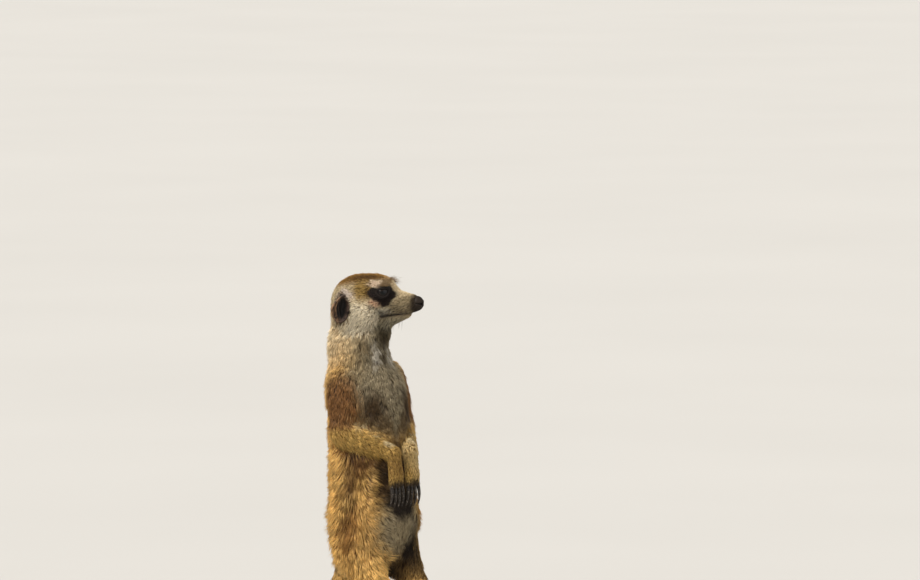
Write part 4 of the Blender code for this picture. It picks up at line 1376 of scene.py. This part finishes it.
BODY_MARKS = (
    ("cream nape", (0, 36, 268), (36, 48, 28), 0.5, (206, 180, 136), (246, 226, 188)),
    ("grey throat", (0, -8, 256), (23, 22, 26), 0.5, (92, 80, 60), (152, 140, 114)),
    ("brown neck side", (15, -2, 265), (3.2, 7, 9), 0.5, (96, 78, 54), (150, 132, 100)),
    ("grey shoulder top", (24, -6, 236), (13, 13, 15), 0.4, (100, 84, 58), (170, 150, 114)),
    ("grizzled breast", (0, -24, 224), (32, 32, 34), 0.35, (92, 78, 56), (162, 148, 120)),
    ("pale throat strip", (7, -8, 255), (3.4, 7, 10), 0.5, (150, 141, 124), (212, 203, 186)),
    ("dark throat line", (0, -9, 257), (2, 7, 11), 0.5, (64, 53, 38), (98, 86, 66)),
    ("buff shoulders", (0, 38, 233), (34, 34, 15), 0.5, (150, 112, 58), (232, 194, 132)),
    ("brown shoulder", (33, 6, 214), (14, 21, 25), 0.5, (58, 36, 18), (142, 100, 58)),
    # painted shade in the hollow between the breast and the arm
    ("painted shade in breast hollow", (17.5, -20, 211), (9.5, 11, 18), 0.65, (48, 36, 21), (78, 60, 37)),
    ("brown lower breast", (10, -30, 198), (10, 12, 9), 0.6, (74, 58, 38), (118, 98, 68)),
    ("pale breast line", (0, -34, 200), (3, 10, 20), 0.5, (104, 90, 66), (158, 144, 114)),
    ("golden flank front", (27, -18, 122), (8, 9, 34), 0.4, (126, 84, 34), (222, 178, 106)),
    ("pale arm fold", (26, -9, 202), (6, 7, 4), 0.5, (150, 126, 84), (210, 186, 140)),
    ("dark belly", (0, -27, 154), (30, 19, 33), 0.3, (62, 46, 30), (98, 76, 50)),
    # brown belly skin under the forearm, darkened with the arm's painted shadow
    ("brown under arm in painted shadow", (28, -15, 173), (11, 14, 12), 0.35, (70, 46, 22), (116, 82, 43)),
    ("grey belly", (0, -29, 113), (26, 20, 24), 0.35, (100, 86, 62), (166, 150, 118)),
    # painted shadow of the hands on the belly behind the claws
    ("painted shadow behind claws", (5, -32, 134), (12, 14, 12), 0.4, (26, 20, 15), (46, 36, 26)),
    # painted shade between the belly and the thighs
    ("painted shade between thighs", (0, -14, 78), (14, 18, 19), 0.4, (32, 24, 18), (54, 41, 29)),
    # the parting down each flank: dark roots where the hair parts, with painted shade in it
    ("brown parting in painted shade", (31, -7, 116), (5, 5, 26), 0.6, (100, 66, 28), (168, 122, 64)),
    ("dark parting in painted shade", (31.5, -6, 164), (5.5, 5.5, 27), 0.5, (66, 42, 19), (104, 69, 33)),
    ("buff back", (0, 50, 150), (32, 26, 76), 0.6, (122, 90, 48), (214, 176, 116)),
)
ONE_SIDE_MARKS = (
    # painted shadow on the far side of the belly
    ("painted shadow on far belly side", (18, -22, 95), (12, 13, 21), 0.75, (24, 17, 12), (40, 29, 19)),
    # brown front of the far thigh, darkened with painted shade
    ("brown thigh front in painted shade", (25, -20, 64), (15, 15, 22), 0.5, (66, 46, 22), (118, 90, 50)),
)
ONE_ARM_MARKS = (
    ("pale left arm", (12, -34, 170), (12, 16, 20), 0.5, (164, 134, 80), (226, 198, 142)),
    ("olive right wrist", (-10, -38, 164), (9, 9, 14), 0.5, (112, 84, 38), (172, 134, 72)),
)
LIMB_MARKS = (
    ("olive forearm", (20, -18, 176), (14, 16, 9), 0.5, (130, 98, 42), (196, 158, 86)),
    ("pale forearm top", (25, -10, 195), (7, 8, 3.8), 0.5, (196, 172, 124), (240, 220, 174)),
    ("pale forearm edge", (19, -22, 188), (5, 8, 3.2), 0.5, (196, 172, 124), (236, 216, 170)),
    ("pale wrist edge", (14, -32, 181), (4.5, 7, 3), 0.5, (196, 172, 124), (236, 216, 170)),
    ("dark fingertips", (8, -41, 145), (14, 8, 6), 0.4, (44, 34, 25), (78, 63, 44)),
    ("brown toes", (24, -42, 4), (14, 8, 7), 0.4, (96, 76, 46), (140, 116, 76)),
)
TAIL_MARKS = (("black tail tip", (58, 188, 4), (34, 34, 20), 0.3, (22, 16, 12), (34, 26, 20)),)

# The coat's own colours: of the under coat and of the tips
BODY_COAT = ((134, 90, 36), (240, 195, 116))
HEAD_COAT = ((166, 145, 108), (214, 195, 158))
LIMB_COAT = ((150, 112, 50), (214, 176, 100))
TAIL_COAT = ((134, 98, 48), (192, 154, 94))
BAND_COAT = ((50, 33, 18), (98, 68, 36))
BAND_CLOSENESS = 0.42
RUFFLE = 4.0  # how far the markings' edges wander
ROOT_TINT = (0.62, 0.58, 0.55, 1)  # of a tuft's root, times its under coat
SKIN_TINT = (0.6, 0.58, 0.56, 1)

# Colours on a screen, 0 to 255, of the pieces without a coat
CREASE_COLOUR = (26, 19, 15)
# the ear's deep colour is painted shade at the bottom of the cup, its pale ridge colour partly a
# painted highlight
EAR_COLOURS = {"deep": (16, 10, 7), "rim": (52, 34, 22), "flesh_and_highlight": (138, 106, 76)}
EAR_HAIR = ((38, 28, 19), (112, 88, 60))
# the nostril colour is the painted shade in the nostrils and the nose's groove
NOSE_COLOURS = {"pad": (33, 24, 16), "nostril": (8, 5, 4)}
EYE_COLOURS = {"pupil": (2, 2, 2), "dark": (17, 10, 7), "fibre": (34, 21, 13), "edge": (9, 7, 6)}
CLAW_COLOURS = {"root": (15, 11, 9), "tip": (40, 33, 27), "streak": (118, 108, 96)}


def markings_group():
    """The animal's markings, some of them painted shade and painted shadow: colour of the under
    coat and of the hair tips.
    """
    inputs = {"Body place": "vector", "Head place": "vector", "Part": "vector", "Ruffle": "float"}
    outputs = {"Under coat": "colour", "Tips": "colour"}
    tree, source, sink = new_group("meerkat_markings_and_shade", inputs, outputs)
    wander = tree.noise(source["Body place"], 0.16, 2.0, "Color")
    wander = {0: tree.vector("SUBTRACT", wander, (0.5, 0.5, 0.5)), "Scale": source["Ruffle"]}
    wander = tree.node("ShaderNodeVectorMath", wander, operation="SCALE").outputs["Vector"]
    one_sided = tree.vector("ADD", source["Body place"], wander)
    aside, back, height = tree.parts(one_sided)
    body = tree.joined(tree.math("ABSOLUTE", aside), back, height)
    head = tree.vector("ADD", source["Head place"], wander)
    on_head_part, on_limb, on_tail = tree.parts(source["Part"])
    under, tips = (rgba(colour) for colour in BODY_COAT)

    def paint(mask, colours):
        nonlocal under, tips
        under = tree.mix(mask, under, rgba(colours[0]))
        tips = tree.mix(mask, tips, rgba(colours[1]))

    def mark_all(marks, place, *gate):
        for name, centre, size, softness, *colours in marks:
            oval = dict(place=place, centre=centre, size=size, softness=softness)
            paint(tree.times(tree.group("oval_mark", name, **oval)["Mask"], *gate), colours)

    mark_all(BODY_MARKS, body)
    # painted shadow and shade on the far side of the belly and thigh only
    mark_all(ONE_SIDE_MARKS, one_sided)
    waves = tree.math("SINE", tree.times(height, BAND_CLOSENESS))
    on_back, on_middle = tree.ramp(back, 16.0, 30.0), tree.ramp(height, 205.0, 175.0)
    paint(tree.times(tree.ramp(waves, -0.1, 0.7), on_back, on_middle, 0.75), BAND_COAT)
    paint(tree.ramp(on_head_part, 0.2, 0.8), HEAD_COAT)
    mark_all(HEAD_MARKS, head, tree.ramp(on_head_part, 0.05, 0.5))
    limb_gate = tree.ramp(on_limb, 0.3, 0.75)
    paint(limb_gate, LIMB_COAT)
    mark_all(ONE_ARM_MARKS, one_sided, limb_gate)
    mark_all(LIMB_MARKS, body, limb_gate)
    tail_gate = tree.ramp(on_tail, 0.3, 0.8)
    paint(tail_gate, TAIL_COAT)
    mark_all(TAIL_MARKS, body, tail_gate)
    tree.feed(sink["Under coat"], under)
    tree.feed(sink["Tips"], tips)


def strand_group():
    """One tuft's colour from root to tip, a little different in each tuft."""
    inputs = {"Under coat": "colour", "Tips": "colour"}
    inputs.update({"Along": "float", "Shade": "float", "Lock shade": "float"})
    outputs = {"Colour": "colour", "Roughness": "float"}
    tree, source, sink = new_group("hair_strand", inputs, outputs)
    start = tree.math("MULTIPLY_ADD", source["Shade"], 0.35, 0.05)
    share = tree.ramp(source["Along"], start, tree.math("ADD", start, 0.5))
    root = tree.tinted(source["Under coat"], ROOT_TINT)
    scatter = tree.node("ShaderNodeTexWhiteNoise", {"W": source["Shade"]}, noise_dimensions="1D")
    scatter = scatter.outputs["Value"]
    own_level = tree.math("MULTIPLY_ADD", scatter, 0.36, 0.84)
    lock_level = tree.math("MULTIPLY_ADD", source["Lock shade"], 0.34, 0.83)
    dark_hair = tree.math("MULTIPLY_ADD", tree.ramp(scatter, 0.06, 0.05), -0.5, 1.0)
    level = tree.times(own_level, lock_level, dark_hair)
    colour = tree.mix(share, root, source["Tips"])
    tree.feed(sink["Colour"], tree.tinted(colour, tree.joined(level, level, level)))
    tree.feed(sink["Roughness"], tree.math("MULTIPLY_ADD", source["Shade"], 0.2, 0.5))


def grain_group():
    """Fine grain of a surface: mottled shade and height."""
    inputs = {"Place": "vector", "Fineness": "float", "Mottle": "float"}
    tree, source, sink = new_group("fine_grain", inputs, {"Shade": "colour", "Height": "float"})
    cells = {"Vector": source["Place"], "Scale": source["Fineness"]}
    cells = tree.node("ShaderNodeTexVoronoi", cells).outputs["Distance"]
    cloud = tree.noise(source["Place"], tree.times(source["Fineness"], 0.3), 4.0)
    shade = tree.math("SUBTRACT", cloud, 0.5)
    shade = tree.math("MULTIPLY_ADD", shade, source["Mottle"], 1.0)
    tree.feed(sink["Shade"], tree.joined(shade, shade, shade))
    tree.feed(sink["Height"], tree.math("ADD", tree.times(cells, -0.5), cloud))


def new_material(name, roughness, gloss=0.5):
    """A material with its own shader, and its tree."""
    material = bpy.data.materials.new(name)
    material.use_nodes = True
    shader = material.node_tree.nodes["Principled BSDF"].inputs
    shader["Roughness"].default_value = roughness
    shader["Specular IOR Level"].default_value = gloss
    return material, Tree(material.node_tree), shader


def bumped(tree, shader, height, distance):
    bump = tree.node("ShaderNodeBump", {"Height": height, "Distance": distance})
    tree.feed(shader["Normal"], bump.outputs[0])


def markings(tree):
    """The markings, painted shade and shadow among them, at each place of a surface that has them.
    """
    places = {name: tree.attribute(name, "Vector") for name in ("body_place", "head_place", "part")}
    return tree.group("meerkat_markings_and_shade", ruffle=RUFFLE, **places)


def creased(tree, shader, colour, dark=CREASE_COLOUR):
    """Gives the surface its colour, dark in its creases."""
    tree.feed(shader["Base Color"], tree.mix(tree.attribute("crease"), colour, rgba(dark)))


def coat_finish():
    material, tree, shader = new_material("hair_coat", 0.6, 0.25)
    colours = markings(tree)
    own = {name: tree.attribute(name) for name in ("along", "shade", "lock_shade")}
    under, tips = colours["Under coat"], colours["Tips"]
    strand = tree.group("hair_strand", under_coat=under, tips=tips, **own)
    creased(tree, shader, strand["Colour"])
    tree.feed(shader["Roughness"], strand["Roughness"])
    return material


def skin_finish():
    material, tree, shader = new_material("under_skin", 0.75, 0.2)
    place = tree.attribute("body_place", "Vector")
    grain = tree.group("fine_grain", place=place, fineness=1.6, mottle=0.8)
    colour = tree.tinted(markings(tree)["Under coat"], grain["Shade"])
    creased(tree, shader, tree.tinted(colour, SKIN_TINT))
    bumped(tree, shader, grain["Height"], 0.0003)
    return material


def ear_finish():
    """Bare and blotched in the cup, darker deep in it as painted shade and lighter on the raised
    ridges behind as painted highlight; haired on the back.
    """
    material, tree, shader = new_material("ear_skin", 0.7)
    place = tree.attribute("ear_place", "Vector")
    grain = tree.group("fine_grain", place=place, fineness=9.0, mottle=0.7)
    behind, out, _ = tree.parts(place)
    # painted shade: the lower the cup's surface lies, the darker it is
    raised = tree.ramp(out, -0.42, 0.1)
    blotches = tree.ramp(tree.noise(place, 2.6, 2.0), 0.35, 0.6)
    # painted highlight on the raised ridges towards the back, in blotches
    light = tree.times(raised, tree.ramp(behind, -0.15, 0.35), blotches)
    deep, rim, flesh_and_highlight = (rgba(colour) for colour in EAR_COLOURS.values())
    bare = tree.mix(light, tree.mix(raised, deep, rim), flesh_and_highlight)
    hairs = tree.noise(tree.vector("MULTIPLY", place, (6.0, 4.0, 34.0)), 1.0)
    haired = tree.mix(tree.ramp(hairs, 0.4, 0.62), *(rgba(colour) for colour in EAR_HAIR))
    colour = tree.mix(tree.attribute("haired"), bare, haired)
    tree.feed(shader["Base Color"], tree.tinted(colour, grain["Shade"]))
    bumped(tree, shader, grain["Height"], 0.0002)
    return material


def nose_finish():
    material, tree, shader = new_material("nose_leather", 0.6, 0.18)
    place = tree.attribute("nose_place", "Vector")
    grain = tree.group("fine_grain", place=place, fineness=7.0, mottle=0.6)
    colour = tree.tinted(rgba(NOSE_COLOURS["pad"]), grain["Shade"])
    # painted shade in the nostrils and the groove
    creased(tree, shader, colour, NOSE_COLOURS["nostril"])
    bumped(tree, shader, grain["Height"], 0.00015)
    return material


def eye_finish():
    """Dark iris with a wide, level pupil under a wet surface."""
    material, tree, shader = new_material("wet_eye", 0.08, 0.22)
    gaze = tree.attribute("gaze", "Vector")
    reach = tree.vector("LENGTH", tree.vector("MULTIPLY", gaze, (0.62, 1.0, 0.0)))
    round_reach = tree.vector("LENGTH", tree.vector("MULTIPLY", gaze, (1.0, 1.0, 0.0)))
    fibres = tree.noise(tree.vector("MULTIPLY", gaze, (1.0, 1.0, 0.2)), 14.0, 4.0)
    pupil, dark, fibre, edge = (rgba(colour) for colour in EYE_COLOURS.values())
    iris = tree.mix(tree.ramp(fibres, 0.35, 0.7), dark, fibre)
    colour = tree.mix(tree.ramp(reach, 0.26, 0.31), pupil, iris)
    colour = tree.mix(tree.ramp(round_reach, 0.56, 0.66), colour, edge)
    tree.feed(shader["Base Color"], colour)
    return material


def claw_finish():
    """Dark horn with pale streaks, paler towards the tip."""
    material, tree, shader = new_material("claw_horn", 0.42, 0.25)
    streaks = tree.noise(tree.object_place(), 900.0)
    root, tip, streak = (rgba(colour) for colour in CLAW_COLOURS.values())
    colour = tree.mix(tree.attribute("along"), root, tip)
    colour = tree.mix(tree.ramp(streaks, 0.5, 0.72), colour, streak)
    tree.feed(shader["Base Color"], colour)
    bumped(tree, shader, streaks, 0.0001)
    return material


# Roughness, gloss, fineness and detail of the streaks, darkest and lightest colour
STREAKED_FINISHES = {
    "brow_hairs": (0.55, 0.25, 1500.0, 2.0, (70, 50, 26), (156, 126, 82)),
    "whisker_hair": (0.5, 0.5, 600.0, 3.0, (20, 16, 13), (58, 48, 38)),
    "pale_floor": (0.8, 0.5, 2.0, 2.0, (190, 188, 184), (196, 194, 190)),
}


def streaked_finish(name):
    roughness, gloss, fineness, detail, dark, light = STREAKED_FINISHES[name]
    material, tree, shader = new_material(name, roughness, gloss)
    streaks = tree.noise(tree.object_place(), fineness, detail)
    tree.feed(shader["Base Color"], tree.mix(streaks, rgba(dark), rgba(light)))
    return material


# Floor, light and camera
def view_axes(azimuth, elevation):
    """Rows: right, up and back of a view from round the animal."""
    level = math.cos(elevation)
    back = (math.sin(azimuth) * level, -math.cos(azimuth) * level, math.sin(elevation))
    right = unit(np.cross(UPWARD, back))
    return np.array((right, np.cross(back, right), back))


FLOOR_REACH = 60  # metres
SKY_COLOUR = (1.0, 0.99, 0.975, 1)
SKY_STRENGTH = 0.7
# Azimuth and elevation the light comes from, its softness, strength and tint
LIGHTS = {
    "key": (-96, 45, 20, 3.3, (1.0, 0.95, 0.87)),
    "fill": (20, 25, 60, 0.6, (0.95, 0.97, 1.0)),
}


def set_stage():
    """The floor and the studio's soft light."""
    source = bmesh.new()
    bmesh.ops.create_grid(source, x_segments=2, y_segments=2, size=FLOOR_REACH)
    floor = from_bmesh("floor", source)
    floor.data.materials.append(streaked_finish("pale_floor"))
    world = bpy.data.worlds.new("studio")
    bpy.context.scene.world = world
    world.use_nodes = True
    background = world.node_tree.nodes["Background"]
    background.inputs["Color"].default_value = SKY_COLOUR
    background.inputs["Strength"].default_value = SKY_STRENGTH
    for name, (azimuth, elevation, softness, strength, tint) in LIGHTS.items():
        light = bpy.data.lights.new(name, "SUN")
        light.angle = math.radians(softness)
        light.energy = strength
        light.color = tint
        lamp = add_object(name, light)
        back = view_axes(math.radians(azimuth), math.radians(elevation))[2]
        lamp.rotation_euler = Vector(back).to_track_quat("Z", "Y").to_euler()


def set_camera():
    """The photo's own view of the animal."""
    axes = view_axes(VIEW_AZIMUTH, VIEW_ELEVATION)
    right, up, back = VIEW_CENTRE
    place = np.array((right, up, back + VIEW_DISTANCE)) @ axes
    camera = bpy.data.cameras.new("camera")
    camera.lens = camera.sensor_width * VIEW_DISTANCE / VIEW_WIDTH
    camera.clip_start = 0.1
    camera.clip_end = 200
    obj = add_object("camera", camera)
    turn = Matrix(axes.tolist()).transposed().to_4x4()
    obj.matrix_world = Matrix.Translation(Vector(to_frame(place))) @ turn
    bpy.context.scene.camera = obj
    bpy.context.scene.view_settings.view_transform = "Standard"


def main():
    set_camera()
    set_stage()
    oval_group()
    markings_group()
    strand_group()
    grain_group()
    skin = grow_skin()
    unwrap(skin)
    points = vertices_of(skin)
    store_places(skin.data, points, region_shares(points)[0])
    store(skin.data, "crease", dark_creases(points))
    grow_coat(skin, coat_finish())
    seat(skin, skin_finish(), FLESH)
    eye, ear_skin, claw = eye_finish(), ear_finish(), claw_finish()
    for label, side in SIDES.items():
        eyeball(label, side, eye)
        ear(label, side, ear_skin)
        for limb in ("front", "hind"):
            claws(label, side, limb, claw)
    nose(nose_finish())
    whiskers(streaked_finish("whisker_hair"))
    brow_hair(streaked_finish("brow_hairs"))


main()
